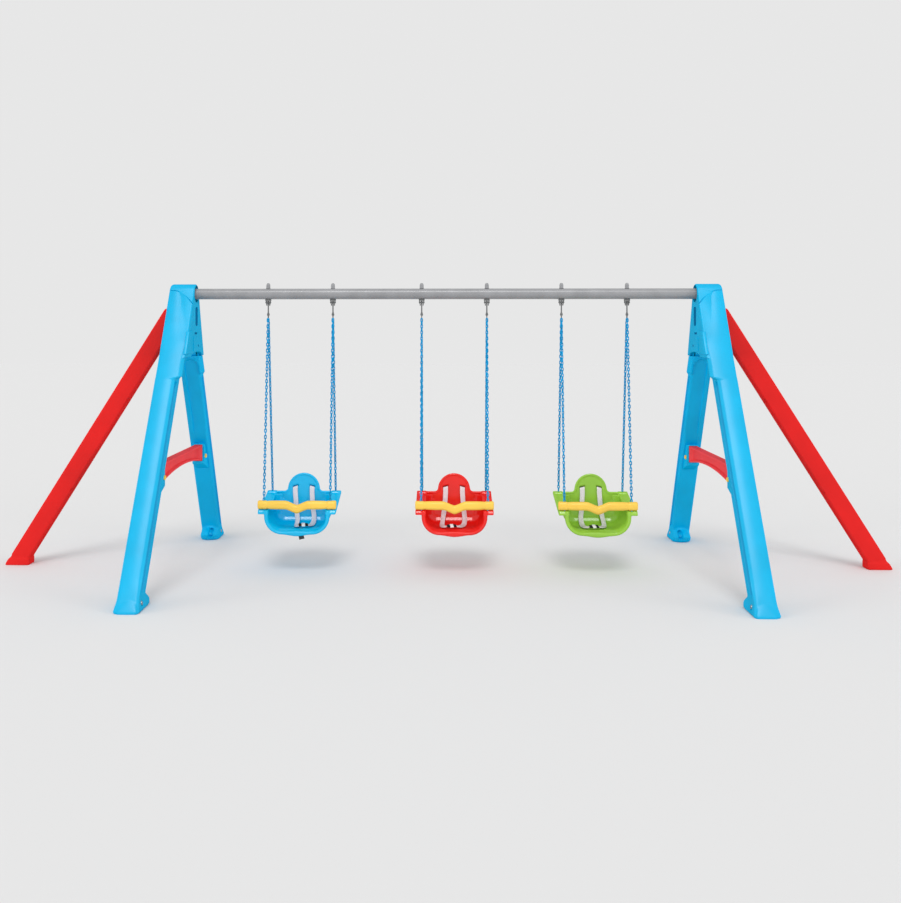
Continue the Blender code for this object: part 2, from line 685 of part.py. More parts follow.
def swing(hand, centre, colour):
    """One seat with its chains, guard bar and harness, all parented to an empty on its axis."""
    pivot = bpy.data.objects.new(f"{hand}_swing_axis", None)
    pivot.location = (centre, 0, PIN_Z)
    bpy.context.scene.collection.objects.link(pivot)
    hang(seat("seat", colour), f"{hand}_seat", pivot)
    hang(harness("harness"), f"{hand}_harness", pivot)
    hang(guard_bar("bar"), f"{hand}_guard_bar", pivot)
    for side, letter in ((-1, "l"), (1, "r")):
        sideways = (side * CHAIN_X, 0, 0)
        hang(eye("eye"), f"{hand}_hanger_{letter}_eye", pivot, sideways)
        hang(chain(-1, "chain"), f"{hand}_chain_front_{letter}", pivot, sideways)
        hang(chain(1, "chain"), f"{hand}_chain_rear_{letter}", pivot, sideways)
        hanger_bolt(centre + side * CHAIN_X, f"{hand}_hanger_{letter}_bolt")
        clevis(centre + side * CHAIN_X, f"{hand}_hanger_{letter}_clevis")


def main():
    clear_scene()
    beam()
    for side, hand in ((-1, "left"), (1, "right")):
        front_leg(side, f"{hand}_front_leg")
        finish(leg(side, 1), f"{hand}_rear_leg", "sky_plastic")
        brace(side, f"{hand}_brace")
        crossbar(side, f"{hand}_crossbar")
        frame_bolts(side, hand)
    colours = ("sky_plastic", "red_plastic", "green_plastic")
    for (hand, centre), colour in zip(SWINGS.items(), colours):
        swing(hand, centre, colour)


main()
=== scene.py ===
"""The looks of a swing set for three toddlers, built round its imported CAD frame.

Metres, +Z up, +X along the beam, the front towards -Y. Each CAD node is made again as a finer mesh
that stands for it and rides on the same body, so the shapes keep the frame's sizes and places.
"""

import json
import math

import bmesh
import bpy
from mathutils import Matrix, Vector


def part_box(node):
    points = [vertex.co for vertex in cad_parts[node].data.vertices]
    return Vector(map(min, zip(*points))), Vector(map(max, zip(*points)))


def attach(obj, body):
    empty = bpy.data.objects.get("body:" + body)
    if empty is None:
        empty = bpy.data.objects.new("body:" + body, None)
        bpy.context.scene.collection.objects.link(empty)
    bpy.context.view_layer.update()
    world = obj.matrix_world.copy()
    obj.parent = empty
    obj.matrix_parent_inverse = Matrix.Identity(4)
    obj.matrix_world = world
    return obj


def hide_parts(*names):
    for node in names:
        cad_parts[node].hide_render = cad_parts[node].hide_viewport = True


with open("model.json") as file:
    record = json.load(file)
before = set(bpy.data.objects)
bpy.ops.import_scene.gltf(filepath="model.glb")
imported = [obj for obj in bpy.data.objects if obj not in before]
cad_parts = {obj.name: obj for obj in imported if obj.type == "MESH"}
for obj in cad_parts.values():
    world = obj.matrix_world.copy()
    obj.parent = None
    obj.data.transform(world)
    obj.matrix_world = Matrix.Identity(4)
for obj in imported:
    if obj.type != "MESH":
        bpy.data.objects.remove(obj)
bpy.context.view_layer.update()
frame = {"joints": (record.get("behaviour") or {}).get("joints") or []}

HANDS = {"left": -1, "right": 1}
FACES = {"front": -1, "rear": 1}
LETTERS = {"l": -1, "r": 1}
SEAT_COLOURS = {"left": "sky", "middle": "red", "right": "green"}
PIVOTS = {
    joint["child"].replace("_swing", ""): Vector(joint["pos_m"])
    for joint in frame["joints"]
    if joint["type"] == "hinge"
}

# The materials by name, which main() fills in.
LOOKS = {}

# Colours of the studio: the light all round, and the floor.
SKY = (0.80, 0.80, 0.80, 1.0)
FLOOR = (0.712, 0.712, 0.712, 1.0)

# Sizes that the CAD model has too.
BEAM_Z = 1.440
BEAM_R = 0.028
BEAM_WALL = 0.0025
LEG_REACH = 0.878
LEG_SLOPE = 0.565
LEG_DEPTH = 0.110
LEG_OUT_X = 1.4535
LEG_IN_X = 1.354
LEG_LEAN = 0.017
CHEEK_IN_X = 1.325
CHEEK_Z = 1.020
FLANK_X = (LEG_IN_X, CHEEK_IN_X, CHEEK_IN_X)
FOOT_SIDE = 0.009
FOOT_BACK = 0.078
CAP_Z = 1.112
CAP_ARCH = 0.024
CAP_OUT_X = 1.4345
CAP_IN_X = 1.300
CROSSBAR_X = 1.391
CROSSBAR_HALF_X = 0.023
CROSSBAR_HALF = 0.445
CROSSBAR_TOP = 0.602
CROSSBAR_END = 0.100
CROSSBAR_MIDDLE = 0.058
LUG_Y = 0.398
LUG_HALF_X = 0.034
CAP_BOLT_Y = 0.420
CAP_BOLT_Z = 0.537
ANCHOR_Z = 0.033
BRACE_Y = 0.075
BRACE_HALF_Y = 0.040
BRACE_WIDTH = 0.106
BRACE_LAP = 0.045
BRACE_FOOT_Z = 0.036
BRACE_SLOPE = 0.630
BRACE_TOP_Z = 1.365
BRACE_FACE_X = CAP_OUT_X + 0.0006
CHAIN_X = 0.170
CHAIN_TOP = (0.008, 1.3160)
FRONT_CHAIN_FOOT = (-0.136, 0.3378)
REAR_CHAIN_FOOT = (0.132, 0.3894)
PAN_Z = 0.232
BACK_Y = 0.106
BACK_LEAN = 0.09
SHOULDER_Z = 0.388
SEAT_FRONT_Y = -0.152
SEAT_HALF = 0.1675
ARM_IN = 0.146
ARM_OUT = 0.199
ARM_FRONT_Z = 0.336
ARCH_R = 0.085
ARCH_Z = 0.398
STRAP_X = 0.045
STRAP_TOP_Z = 0.409
BAR_HALF = 0.200
BAR_HEIGHT = 0.043
BAR_DEPTH = 0.038
BAR_DIP = 0.0175
BAR_CORNER = 0.0155
BAR_END_R = 0.006

# Sizes of the finer detail.
LEG_CORNER = 0.015
GROOVE_DEPTH = 0.013
BACK_CORNER = 0.008
CROWN = 0.0075
FACET_X = 1.397
FACET_HALF = 0.049
FACET_TOP = 0.056
FACET_PROUD = 0.0060
TOE_X = 1.399
TOE_HALF = 0.063
TOE_EDGE_Z = 0.030
TOE_RISE = 0.056
POCKET_X = 1.388
POCKET_HALF = 0.0135
POCKET_Z = 0.044
POCKET_RISE = 0.024
POCKET_DEPTH = 0.020
RECESS_X = 1.374
RECESS_HALF = 0.040
RECESS_Z = 1.052
RECESS_RISE = 0.042
RECESS_DEPTH = 0.012
PANEL_PROUD = 0.0050
PANEL_X = (LEG_IN_X, 1.300, CHEEK_IN_X)
PANEL_TOP = 1.453
PANEL_FOOT = 1.200
SEAM_X = 1.366
SEAM_HALF = 0.066
CAP_SLANT = 0.075
CAP_SLANT_Z = 1.396
MOUTH_R = 0.0445
ANCHOR_IN = 0.075
BRACE_CORNER = 0.010
BRACE_NOTCHES = (0.880, 0.400)
PIN_R = 0.0038
LINK_PITCH = 0.016
LINK_WIRE = 0.0026
LINK_HALF_WIDTH = 0.0046
LINK_HALF_RUN = 0.0053
CHAIN_TWISTS = {("l", "front"): 20, ("l", "rear"): -35, ("r", "front"): -15, ("r", "rear"): 40}
PAN_UNDER_Z = 0.2225
BEND_R = 0.022
BEND_FLAT = 0.013
BEND_TILT = math.radians(31.5)
STRAP_HALF = 0.0125
STRAP_THICK = 0.0022
STRAP_Z = 0.2345
RIB_PITCH = 0.0028
THREAD_PITCH = 0.0016

# Holes in a cap's inner wall: middle Y and Z, then half sizes along Y and Z.
CAP_HOLES = (
    (0.001, 1.322, 0.028, 0.050),
    (-0.014, 1.234, 0.030, 0.005),
    (0.056, 1.168, 0.014, 0.006),
)

# The neck beside a guard bar's block: X, and how far the section draws in.
BAR_NECK = (
    (0.100, 0.0000), (0.130, 0.0004), (0.146, 0.0014), (0.151, 0.0022), (0.1545, 0.0020),
    (0.157, 0.0010), (0.160, 0.0002), (0.164, 0.0000), (0.185, 0.0000),
)

# Plastics: colour, gloss, depth of the slow waves, and weight of the shine.
PLASTICS = {
    "sky_plastic": ((0.000, 0.385, 0.660), 0.33, 0.0010, 0.075),
    # The rear legs' copy of the leg plastic, made lighter as painted light on their shaded faces.
    "sky_rear": ((0.000, 0.430, 0.770), 0.33, 0.0010, 0.040),
    # A deep blue for the dark plates in the caps' holes and the left seat's strap slots: painted shade.
    "sky_shade": ((0.000, 0.130, 0.300), 0.33, 0.0001, 0.020),
    "red_plastic": ((0.670, 0.009, 0.008), 0.34, 0.0010, 0.055),
    "crossbar": ((0.800, 0.055, 0.065), 0.34, 0.0005, 0.090),
    "sky_seat": ((0.000, 0.435, 0.740), 0.17, 0.0002, 0.115),
    "red_seat": ((0.740, 0.012, 0.008), 0.17, 0.0002, 0.115),
    "green_seat": ((0.268, 0.510, 0.045), 0.17, 0.0002, 0.115),
    "yellow_plastic": ((0.860, 0.550, 0.080), 0.26, 0.0005, 0.080),
    # Deep tints of the red and green seat colours for the dark plates in the strap slots: painted shade.
    "red_shade": ((0.220, 0.004, 0.004), 0.33, 0.0001, 0.020),
    "green_shade": ((0.060, 0.120, 0.010), 0.33, 0.0001, 0.020),
    "black_plastic": ((0.012, 0.012, 0.014), 0.35, 0.0001, 0.040),
    "label": ((0.800, 0.790, 0.790), 0.35, 0.0001, 0.040),
}

# The shoulder straps' way down the backrest and in along the pan: X on the backrest at two
# heights, X on the pan at two places, then X and Y to its end beside the buckle, which lies right
# of the left seat's middle and left of the others'.
STRAP_ROUTES = {
    ("left", -1): (0.042, 0.038, 0.030, 0.022, (0.016, -0.034), (0.008, -0.078), (-0.010, -0.096)),
    ("left", 1): (0.047, 0.052, 0.060, 0.064, (0.063, -0.022), (0.056, -0.062), (0.040, -0.080)),
    ("other", -1): (0.047, 0.051, 0.058, 0.061, (0.063, -0.034), (0.055, -0.080), (0.037, -0.102)),
    ("other", 1): (0.047, 0.051, 0.056, 0.055, (0.047, -0.030), (0.030, -0.074), (0.008, -0.093)),
}


# ---- camera, lights and floor


def add_object(name, data):
    made = bpy.data.objects.new(name, data)
    bpy.context.scene.collection.objects.link(made)
    return made


def add_camera():
    data = bpy.data.cameras.new("camera")
    data.lens = 40.19
    data.shift_x = 0.0339
    data.shift_y = -0.1342
    data.clip_end = 100.0
    camera = add_object("camera", data)
    camera.location = (-0.001, -5.2698, 1.2601)
    camera.rotation_euler = (math.radians(90) - 0.002, 0.0, 0.024)
    bpy.context.scene.camera = camera


def add_sun(name, strength, spread, direction):
    data = bpy.data.lights.new(name, "SUN")
    data.energy = strength
    data.angle = math.radians(spread)
    sun = add_object(name, data)
    sun.rotation_mode = "QUATERNION"
    sun.rotation_quaternion = Vector(direction).to_track_quat("-Z", "Y")
    return sun


def add_stage():
    scene = bpy.context.scene
    scene.view_settings.view_transform = "Standard"
    world = bpy.data.worlds.new("studio")
    world.use_nodes = True
    feed(world.node_tree.nodes["Background"], {"Color": SKY})
    scene.world = world
    add_sun("key", 1.0, 22, (0.02, 0.61, -0.79))
    for side in (-1, 1):
        fill = add_sun("fill", 1.4, 30, (0.88 * side, 0.475, -0.05))
        fill.visible_glossy = False
    bpy.ops.mesh.primitive_plane_add(size=60.0, location=(0, 0, 0))
    floor = bpy.context.object
    floor.name = "floor"
    shade, _, shader = surface("floor")
    feed(shader, {"Base Color": FLOOR, "Roughness": 1.0, "Specular IOR Level": 0.0})
    floor.data.materials.append(shade)


# ---- mesh tools


def mix(a, b, share):
    return a + (b - a) * share


def smooth(low, high, value):
    """0 below low, 1 above high, and a soft step between them."""
    t = min(1.0, max(0.0, (value - low) / (high - low)))
    return t * t * (3 - 2 * t)


def steps(first, last, count):
    """Evenly spaced values from first to last."""
    return [mix(first, last, i / count) for i in range(count + 1)]


def arc(centre, radius, first, last, count):
    """Points on an arc, from one angle to another, in degrees."""
    angles = [math.radians(a) for a in steps(first, last, count)]
    return [(centre[0] + radius * math.cos(a), centre[1] + radius * math.sin(a)) for a in angles]


def rounded_edge(radius):
    """Sections over a rounded edge, from its tip: (distance from the tip, inset)."""
    turns = [math.radians(a) for a in steps(0, 90, 5)]
    return [(radius * (1 - math.cos(a)), radius * (1 - math.sin(a))) for a in turns]


def rounded(half_a, half_b, r, count):
    """A rectangle about the origin, with rounded corners."""
    outline = []
    for a, b, first in ((1, 1, 0), (-1, 1, 90), (-1, -1, 180), (1, -1, 270)):
        outline += arc((a * (half_a - r), b * (half_b - r)), r, first, first + 90, count)
    return outline


def mirrored(points):
    """The same points on the other side of the middle, from the last to the first."""
    return [(-x, z) for x, z in reversed(points)]


def mesh_object(name, points, faces):
    mesh = bpy.data.meshes.new(name)
    mesh.from_pydata([tuple(p) for p in points], [], faces)
    shape = bmesh.new()
    shape.from_mesh(mesh)
    bmesh.ops.remove_doubles(shape, verts=shape.verts, dist=1e-6)
    bmesh.ops.recalc_face_normals(shape, faces=shape.faces)
    shape.to_mesh(mesh)
    shape.free()
    return add_object(name, mesh)


def skin(name, rings, loop=False):
    """A skin over rings of equally many points: closed at both ends, or joined end to end."""
    count = len(rings[0])
    points = [p for ring in rings for p in ring]
    faces = []
    if not loop:
        faces = [list(range(count)), list(range(len(points) - count, len(points)))]
    for level in range(len(rings) if loop else len(rings) - 1):
        low = level * count
        high = (level + 1) % len(rings) * count
        for i in range(count):
            j = (i + 1) % count
            faces.append([low + i, low + j, high + j, high + i])
    return mesh_object(name, points, faces)


def box(name, x_span, y_span, z_span, side=1):
    """A box over three spans; on the left side its X is mirrored."""
    low, high = sorted(side * x for x in x_span)
    outline = [(low, y_span[0]), (high, y_span[0]), (high, y_span[1]), (low, y_span[1])]
    return skin(name, [[(x, y, z) for x, y in outline] for z in z_span])


def prism(name, corners, x_span, side=1, face=1):
    """Corners in the YZ plane, drawn out over a span of X."""
    return skin(name, [[(side * x, face * y, z) for y, z in corners] for x in x_span])


def turned(name, start, end, profile, sides=32):
    """A turned piece; the profile lists (distance from start towards end, radius)."""
    start, end = Vector(start), Vector(end)
    axis = (end - start).normalized()
    turn = axis.to_track_quat("Z", "Y")
    rings = []
    for distance, radius in profile:
        centre = start + axis * distance
        circle = arc((0, 0), radius, 0, 360 - 360 / sides, sides - 1)
        rings.append([centre + turn @ Vector((x, y, 0)) for x, y in circle])
    return skin(name, rings)


def rod(name, start, end, radius, sides=32):
    length = (Vector(end) - Vector(start)).length
    return turned(name, start, end, [(0.0, radius), (length, radius)], sides)


def bake(obj):
    """Turns the object's modifiers into plain mesh."""
    graph = bpy.context.evaluated_depsgraph_get()
    mesh = bpy.data.meshes.new_from_object(obj.evaluated_get(graph))
    obj.modifiers.clear()
    obj.data = mesh
    return obj


def combine(target, tool, operation):
    modifier = target.modifiers.new("combine", "BOOLEAN")
    modifier.operation = operation
    modifier.solver = "EXACT"
    modifier.object = tool
    bake(target)
    bpy.data.objects.remove(tool)
    return target


def cut(target, tool):
    return combine(target, tool, "DIFFERENCE")


def join(target, tool):
    return combine(target, tool, "UNION")


def gather(name, pieces):
    """Puts several objects' meshes into the first one, as separate solids, under a new name."""
    shape = bmesh.new()
    for obj in pieces:
        shape.from_mesh(obj.data)
    shape.to_mesh(pieces[0].data)
    shape.free()
    for obj in pieces[1:]:
        bpy.data.objects.remove(obj)
    pieces[0].name = name
    return pieces[0]


def soften(obj, width, segments=3, angle=40):
    modifier = obj.modifiers.new("soften", "BEVEL")
    modifier.width = width
    modifier.segments = segments
    modifier.limit_method = "ANGLE"
    modifier.angle_limit = math.radians(angle)
    return bake(obj)


def remesh(obj, voxel, rounds):
    """One even skin over joined shapes, with soft fillets where they meet."""
    modifier = obj.modifiers.new("remesh", "REMESH")
    modifier.mode = "VOXEL"
    modifier.voxel_size = voxel
    calm = obj.modifiers.new("calm", "SMOOTH")
    calm.factor = 0.5
    calm.iterations = rounds
    return bake(obj)


def place(obj, body, slot, nodes=(), look=None, angle=35):
    """Finishes a piece: its look, its shading, its body, and the CAD nodes that it stands for."""
    obj.data.materials.clear()
    obj.data.materials.append(LOOKS[look or slot])
    obj.data.shade_smooth()
    obj.data.set_sharp_from_angle(angle=math.radians(angle))
    obj.data.name = obj.name
    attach(obj, body)
    if nodes:
        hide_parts(*nodes)


# ---- materials


def feed(made, inputs):
    """Gives a node its inputs: values, or the sockets to link."""
    for key, value in inputs.items():
        if isinstance(value, bpy.types.NodeSocket):
            made.id_data.links.new(value, made.inputs[key])
        else:
            made.inputs[key].default_value = value


def node(tree, kind, inputs=None, **settings):
    made = tree.nodes.new(kind)
    for key, value in settings.items():
        setattr(made, key, value)
    feed(made, inputs or {})
    return made


def noise(tree, scale, detail=2.0, stretch=(1.0, 1.0, 1.0)):
    """Noise on the object's own coordinates, in features per metre."""
    where = node(tree, "ShaderNodeTexCoord")
    mapping = node(tree, "ShaderNodeMapping", {"Vector": where.outputs["Object"], "Scale": stretch})
    inputs = {"Vector": mapping.outputs["Vector"], "Scale": scale, "Detail": detail}
    return node(tree, "ShaderNodeTexNoise", inputs).outputs["Fac"]


def span(tree, value, low, high):
    """Maps noise, which lies about 0.5, onto a range of values."""
    inputs = {"Value": value, "From Min": 0.3, "From Max": 0.7, "To Min": low, "To Max": high}
    return node(tree, "ShaderNodeMapRange", inputs).outputs["Result"]


def tint(tree, value, colour, low, high):
    """A colour that noise makes darker or lighter, from low to high times."""
    dark, light = ((*[min(1.0, c * times) for c in colour], 1.0) for times in (low, high))
    inputs = {"Factor": span(tree, value, 0.0, 1.0), "A": dark, "B": light}
    return node(tree, "ShaderNodeMix", inputs, data_type="RGBA").outputs["Result"]


def surface(name):
    made = bpy.data.materials.new(name)
    made.use_nodes = True
    return made, made.node_tree, made.node_tree.nodes["Principled BSDF"]


def relief(tree, layers):
    """Layers of relief: each is (height, depth in metres); they add up in the normal."""
    normal = None
    for height, depth in layers:
        inputs = {"Height": height, "Distance": depth, "Strength": 1.0}
        if normal:
            inputs["Normal"] = normal
        normal = node(tree, "ShaderNodeBump", inputs).outputs["Normal"]
    return normal


def plastic(name, colour, gloss, waves, shine):
    """Moulded plastic: faint flow marks, an orange-peel skin and slow waves under a waxy gloss."""
    made, tree, shader = surface(name)
    feed(shader, {"Base Color": tint(tree, noise(tree, 7.0, 3.0), colour, 0.94, 1.05)})
    feed(shader, {"Roughness": span(tree, noise(tree, 30.0, 4.0), 0.44, 0.56)})
    normal = relief(tree, [(noise(tree, 9.0, 1.0), waves), (noise(tree, 420.0, 1.0), 0.00003)])
    feed(shader, {"Normal": normal, "Coat Normal": normal, "Specular IOR Level": 0.0})
    feed(shader, {"Coat Weight": shine, "Coat IOR": 4.0, "Coat Roughness": gloss})
    return made


def steel(name, colour, roughness, metallic):
    """Coated or plated steel with fine drawing marks along X."""
    made, tree, shader = surface(name)
    marks = noise(tree, 300.0, 3.0, (0.03, 1.0, 1.0))
    feed(shader, {"Base Color": tint(tree, noise(tree, 14.0, 4.0), colour, 0.92, 1.08)})
    feed(shader, {"Roughness": span(tree, marks, roughness - 0.06, roughness + 0.06)})
    feed(shader, {"Normal": relief(tree, [(marks, 0.00004)]), "Metallic": metallic})
    return made


def coating(name, colour):
    """Soft plastic coating on a chain, a little uneven where it pooled."""
    made, tree, shader = surface(name)
    feed(shader, {"Base Color": tint(tree, noise(tree, 60.0, 2.0), colour, 0.80, 1.25)})
    feed(shader, {"Roughness": span(tree, noise(tree, 200.0, 2.0), 0.26, 0.42)})
    normal = relief(tree, [(noise(tree, 260.0, 2.0), 0.0002)])
    feed(shader, {"Normal": normal, "Specular IOR Level": 0.2})
    return made


def webbing(name, colour):
    """Woven strap: cross threads and lengthwise ribs, on the object's own coordinates."""
    made, tree, shader = surface(name)
    where = node(tree, "ShaderNodeTexCoord").outputs["Object"]
    waves = []
    for pitch, direction in ((RIB_PITCH, "X"), (THREAD_PITCH, "Z")):
        inputs = {"Vector": where, "Scale": 2 * math.pi / 20 / pitch, "Distortion": 0.3}
        wave = node(tree, "ShaderNodeTexWave", inputs, bands_direction=direction)
        waves.append(wave.outputs["Fac"])
    weave = node(tree, "ShaderNodeMath", dict(enumerate(waves)), operation="MULTIPLY").outputs["Value"]
    feed(shader, {"Base Color": tint(tree, weave, colour, 0.80, 1.05)})
    feed(shader, {"Normal": relief(tree, [(weave, 0.0004)]), "Roughness": 0.85, "Sheen Weight": 0.25})
    return made


def make_looks():
    looks = {name: plastic(f"{name}_look", *values) for name, values in PLASTICS.items()}
    looks["grey_steel"] = steel("grey_steel_look", (0.262, 0.265, 0.275), 0.31, 0.05)
    looks["zinc"] = steel("zinc_look", (0.420, 0.420, 0.430), 0.32, 0.9)
    looks["dark_steel"] = steel("dark_steel_look", (0.165, 0.170, 0.172), 0.40, 0.5)
    looks["chain_blue"] = coating("chain_look", (0.000, 0.268, 0.540))
    looks["webbing"] = webbing("webbing_look", (0.840, 0.780, 0.815))
    looks["dark_webbing"] = webbing("dark_webbing_look", (0.060, 0.062, 0.060))
    return looks


# ---- legs and caps


def leg_face(z):
    """Distance from the middle of a leg's outer sloping face at height z."""
    return LEG_REACH - LEG_SLOPE * z


def groove_profile():
    """Across a leg's flank: (distance from its front, share of the groove's depth)."""
    profile = []
    for start, end, share in ((0.018, 0.060, 1.0), (0.081, 0.091, 0.25)):
        lip = [(0.0, 0.0), (0.0010, 0.12), (0.0026, 0.88), (0.0040, 1.0)]
        profile += [(start + d, share * deep) for d, deep in lip]
        profile += [(end - d, share * deep) for d, deep in reversed(lip)]
    return profile


def flank(edge, inward, far, corner, depth, groove):
    """A leg's grooved side, from its face to its back; inward is the way into the leg."""
    points = []
    for q, share in groove_profile():
        q = min(max(q, corner + 0.0005), depth - BACK_CORNER)
        points.append((edge + inward * groove * share, far - q))
    return points


def leg_section(in_x, out_x, far, near, depth, round_in, groove):
    """A leg in plan: its face, its inner side, its back and its outer side."""
    round_out, back = LEG_CORNER, BACK_CORNER
    outline = [(x, far) for x in steps(out_x - round_out, in_x + round_in, 12)]
    outline += arc((in_x + round_in, far - round_in), round_in, 90, 180, 7)[1:]
    outline += flank(in_x, 1, far, round_in, depth, groove)
    outline += arc((in_x + back, near + back), back, 180, 270, 4)
    outline += [(x, near) for x in steps(in_x + back, out_x - back, 26)[1:-1]]
    outline += arc((out_x - back, near + back), back, 270, 360, 4)
    outline += flank(out_x, -1, far, round_out, depth, groove)[::-1]
    return outline + arc((out_x - round_out, far - round_out), round_out, 0, 90, 7)[:-1]


def leg_outline(z, hand_x=FLANK_X, top=None, depth=LEG_DEPTH, inset=0.0, carve=None):
    """One section of a leg as (x, distance from the middle, height).

    hand_x is the inner flank's x on the ground, and above the cheek at the face and at the back.
    Grooves fade out at both ends of the flank; carve(x, z) shapes the side towards the middle,
    and top(x) gives the points' heights where the section isn't level.
    """
    ground_x, cheek_x, cheek_back_x = hand_x
    flare = (1 - smooth(0.0, 0.070, z)) ** 1.4
    cheek = smooth(CHEEK_Z - 0.016, CHEEK_Z + 0.004, z)
    out_x = LEG_OUT_X - LEG_LEAN * z + FOOT_SIDE * flare - inset
    in_x = mix(ground_x - LEG_LEAN * z - FOOT_SIDE * flare, cheek_x, cheek) + inset
    far, near = leg_face(z) - inset, leg_face(z) - depth + inset
    round_in = mix(mix(LEG_CORNER, 0.024, cheek), 0.010, smooth(1.08, 1.20, z))
    fade = smooth(0.066, 0.092, z) * (1 - smooth(CHEEK_Z - 0.034, CHEEK_Z - 0.018, z))
    middle, half = (in_x + out_x) / 2, (out_x - in_x) / 2
    crown = CROWN * mix(0.2, 1.0, smooth(0.040, 0.160, z))
    slant = (cheek_back_x - cheek_x) * cheek
    points = []
    for x, y in leg_section(in_x, out_x, far, near, depth, round_in, GROOVE_DEPTH * fade):
        face_share = smooth(far - round_in, far, y)
        across = (x - middle) / half
        facet = toe_facet(x, z) - FACET_PROUD * smooth(0.30, 0.0, z)
        shape = (facet - crown * across * across) * face_share
        if carve:
            shape += carve(x, z) * (1 - smooth(near + 0.004, near + 0.045, y))
        aside = slant * min(1.0, max(0.0, far - y) / depth) * max(0.0, -across)
        points.append((x + aside, y + shape, top(x) if top else z))
    return points


def toe_facet(x, z):
    """The arched dome at the front of a foot, which stands proud of the sloping face."""
    across = (x - FACET_X) / FACET_HALF
    if abs(across) >= 1:
        return 0.0
    share = min(1.0, z / (FACET_TOP * math.sqrt(1 - across * across)))
    return FACET_PROUD * (1 - share**2.2) * smooth(1.0, 0.86, abs(across))


def toe(x, z, rounding):
    """The toe that a foot turns towards the middle; with rounding it is a dome with a pocket."""
    across = min(1.0, abs(x - TOE_X) / TOE_HALF)
    height = TOE_EDGE_Z + TOE_RISE * math.sqrt(1 - across * across)
    plan = mix(1 - 0.20 * across * across, math.sqrt(max(0.0, 1 - across**2.2)), rounding)
    bulge = FOOT_BACK * plan * (1 - smooth(0.35 * height, height, z))
    aside = abs(x - POCKET_X)
    arch = POCKET_RISE * math.sqrt(max(0.0, 1 - (aside / POCKET_HALF) ** 4))
    pocket = smooth(arch, arch - 0.004, abs(z - POCKET_Z)) * smooth(POCKET_HALF, POCKET_HALF - 0.003, aside)
    return POCKET_DEPTH * pocket * rounding - bulge


def arched_recess(x, z):
    """A shallow recess with an arched top in the rear legs' inner face, and a bevel over it."""
    across = abs(x - RECESS_X) / RECESS_HALF
    bevel = 0.010 * smooth(1.082, 1.111, z)
    if across >= 1:
        return bevel
    top = RECESS_Z + RECESS_RISE * math.sqrt(1 - across * across)
    fade = smooth(1.0, 0.90, across) * smooth(top, top - 0.004, z) * smooth(0.620, 0.740, z)
    return bevel + RECESS_DEPTH * fade


def panel_top(x):
    """Upper edge of the front panel: a wide arch that falls towards the inner edge."""
    inward = max(0.0, 1.411 - x)
    return PANEL_TOP - 5.9 * inward * inward


def leg_levels():
    """Heights of a leg's sections, close together where the shape changes."""
    levels = [0.0, 0.0010, 0.0025, 0.0045, 0.0070, *steps(0.010, 0.135, 42)]
    levels += steps(0.135, CHEEK_Z - 0.036, 16)[1:]
    levels += steps(CHEEK_Z - 0.036, CHEEK_Z + 0.008, 18)[1:]
    return levels


def foot_inset(z):
    """How far the rounded lower edge of a foot draws in at height z."""
    return 0.0058 * max(0.0, 1 - z / 0.012) ** 2


def front_leg_end():
    """A front leg above its cheek, up to a panel with an arched upper edge."""
    rings = [leg_outline(z, PANEL_X) for z in steps(CHEEK_Z + 0.008, PANEL_FOOT, 8)[1:]]
    for share in steps(0.0, 1.0, 12)[1:]:
        level = mix(PANEL_FOOT, PANEL_TOP, share)

        def top(x, share=share):
            return mix(PANEL_FOOT, panel_top(x), share)

        rings.append(leg_outline(level, PANEL_X, top, mix(LEG_DEPTH, 0.040, share)))
    for rise, under in ((0.0012, 0.0004), (0.0022, 0.0014), (0.0028, 0.0028), (0.0030, 0.0070)):
        rings.append([(x, y - under, z + rise) for x, y, z in rings[-1]])
    return rings


def rear_leg_end(carve):
    """A rear leg above its cheek, which gets narrower inside the cap."""
    rings = [leg_outline(z, carve=carve) for z in steps(CHEEK_Z + 0.008, 1.110, 24)[1:]]
    for level, inset in ((1.1114, 0.0015), (1.1114, 0.011), (1.215, 0.011)):
        rings.append(leg_outline(level, inset=inset))
    return rings


def leg_shell(name, hand, face):
    """A moulded leg from its foot to inside the cap."""

    def carve(x, z):
        return toe(x, z, 0.0) if face < 0 else toe(x, z, 1.0) + arched_recess(x, z)

    hand_x = PANEL_X if face < 0 else FLANK_X
    rings = [leg_outline(z, hand_x, inset=foot_inset(z), carve=carve) for z in leg_levels()]
    rings += front_leg_end() if face < 0 else rear_leg_end(carve)
    side = HANDS[hand]
    return skin(name, [[(side * x, face * y, z) for x, y, z in ring] for ring in rings])


def lug(hand, face):
    """The block on a leg that takes a crossbar's end."""
    inner = leg_face(CROSSBAR_TOP) - LEG_DEPTH + 0.030
    top, bottom = CROSSBAR_TOP + 0.006, CROSSBAR_TOP - CROSSBAR_END - 0.008
    lowest = bottom - 0.037
    outline = [(LUG_Y, bottom), (LUG_Y, top), (inner, top)]
    outline += [(inner + 0.085, lowest), (inner + 0.045, lowest)]
    span = (CROSSBAR_X - LUG_HALF_X, CROSSBAR_X + LUG_HALF_X)
    return soften(prism("lug", outline, span, HANDS[hand], face), 0.004)


def crossbar_edges(y, grow=0.0):
    """Upper and lower edge of a crossbar at y."""
    arch = CROSSBAR_MIDDLE + (CROSSBAR_END - CROSSBAR_MIDDLE) * (y / CROSSBAR_HALF) ** 2
    return CROSSBAR_TOP + grow, CROSSBAR_TOP - arch - grow


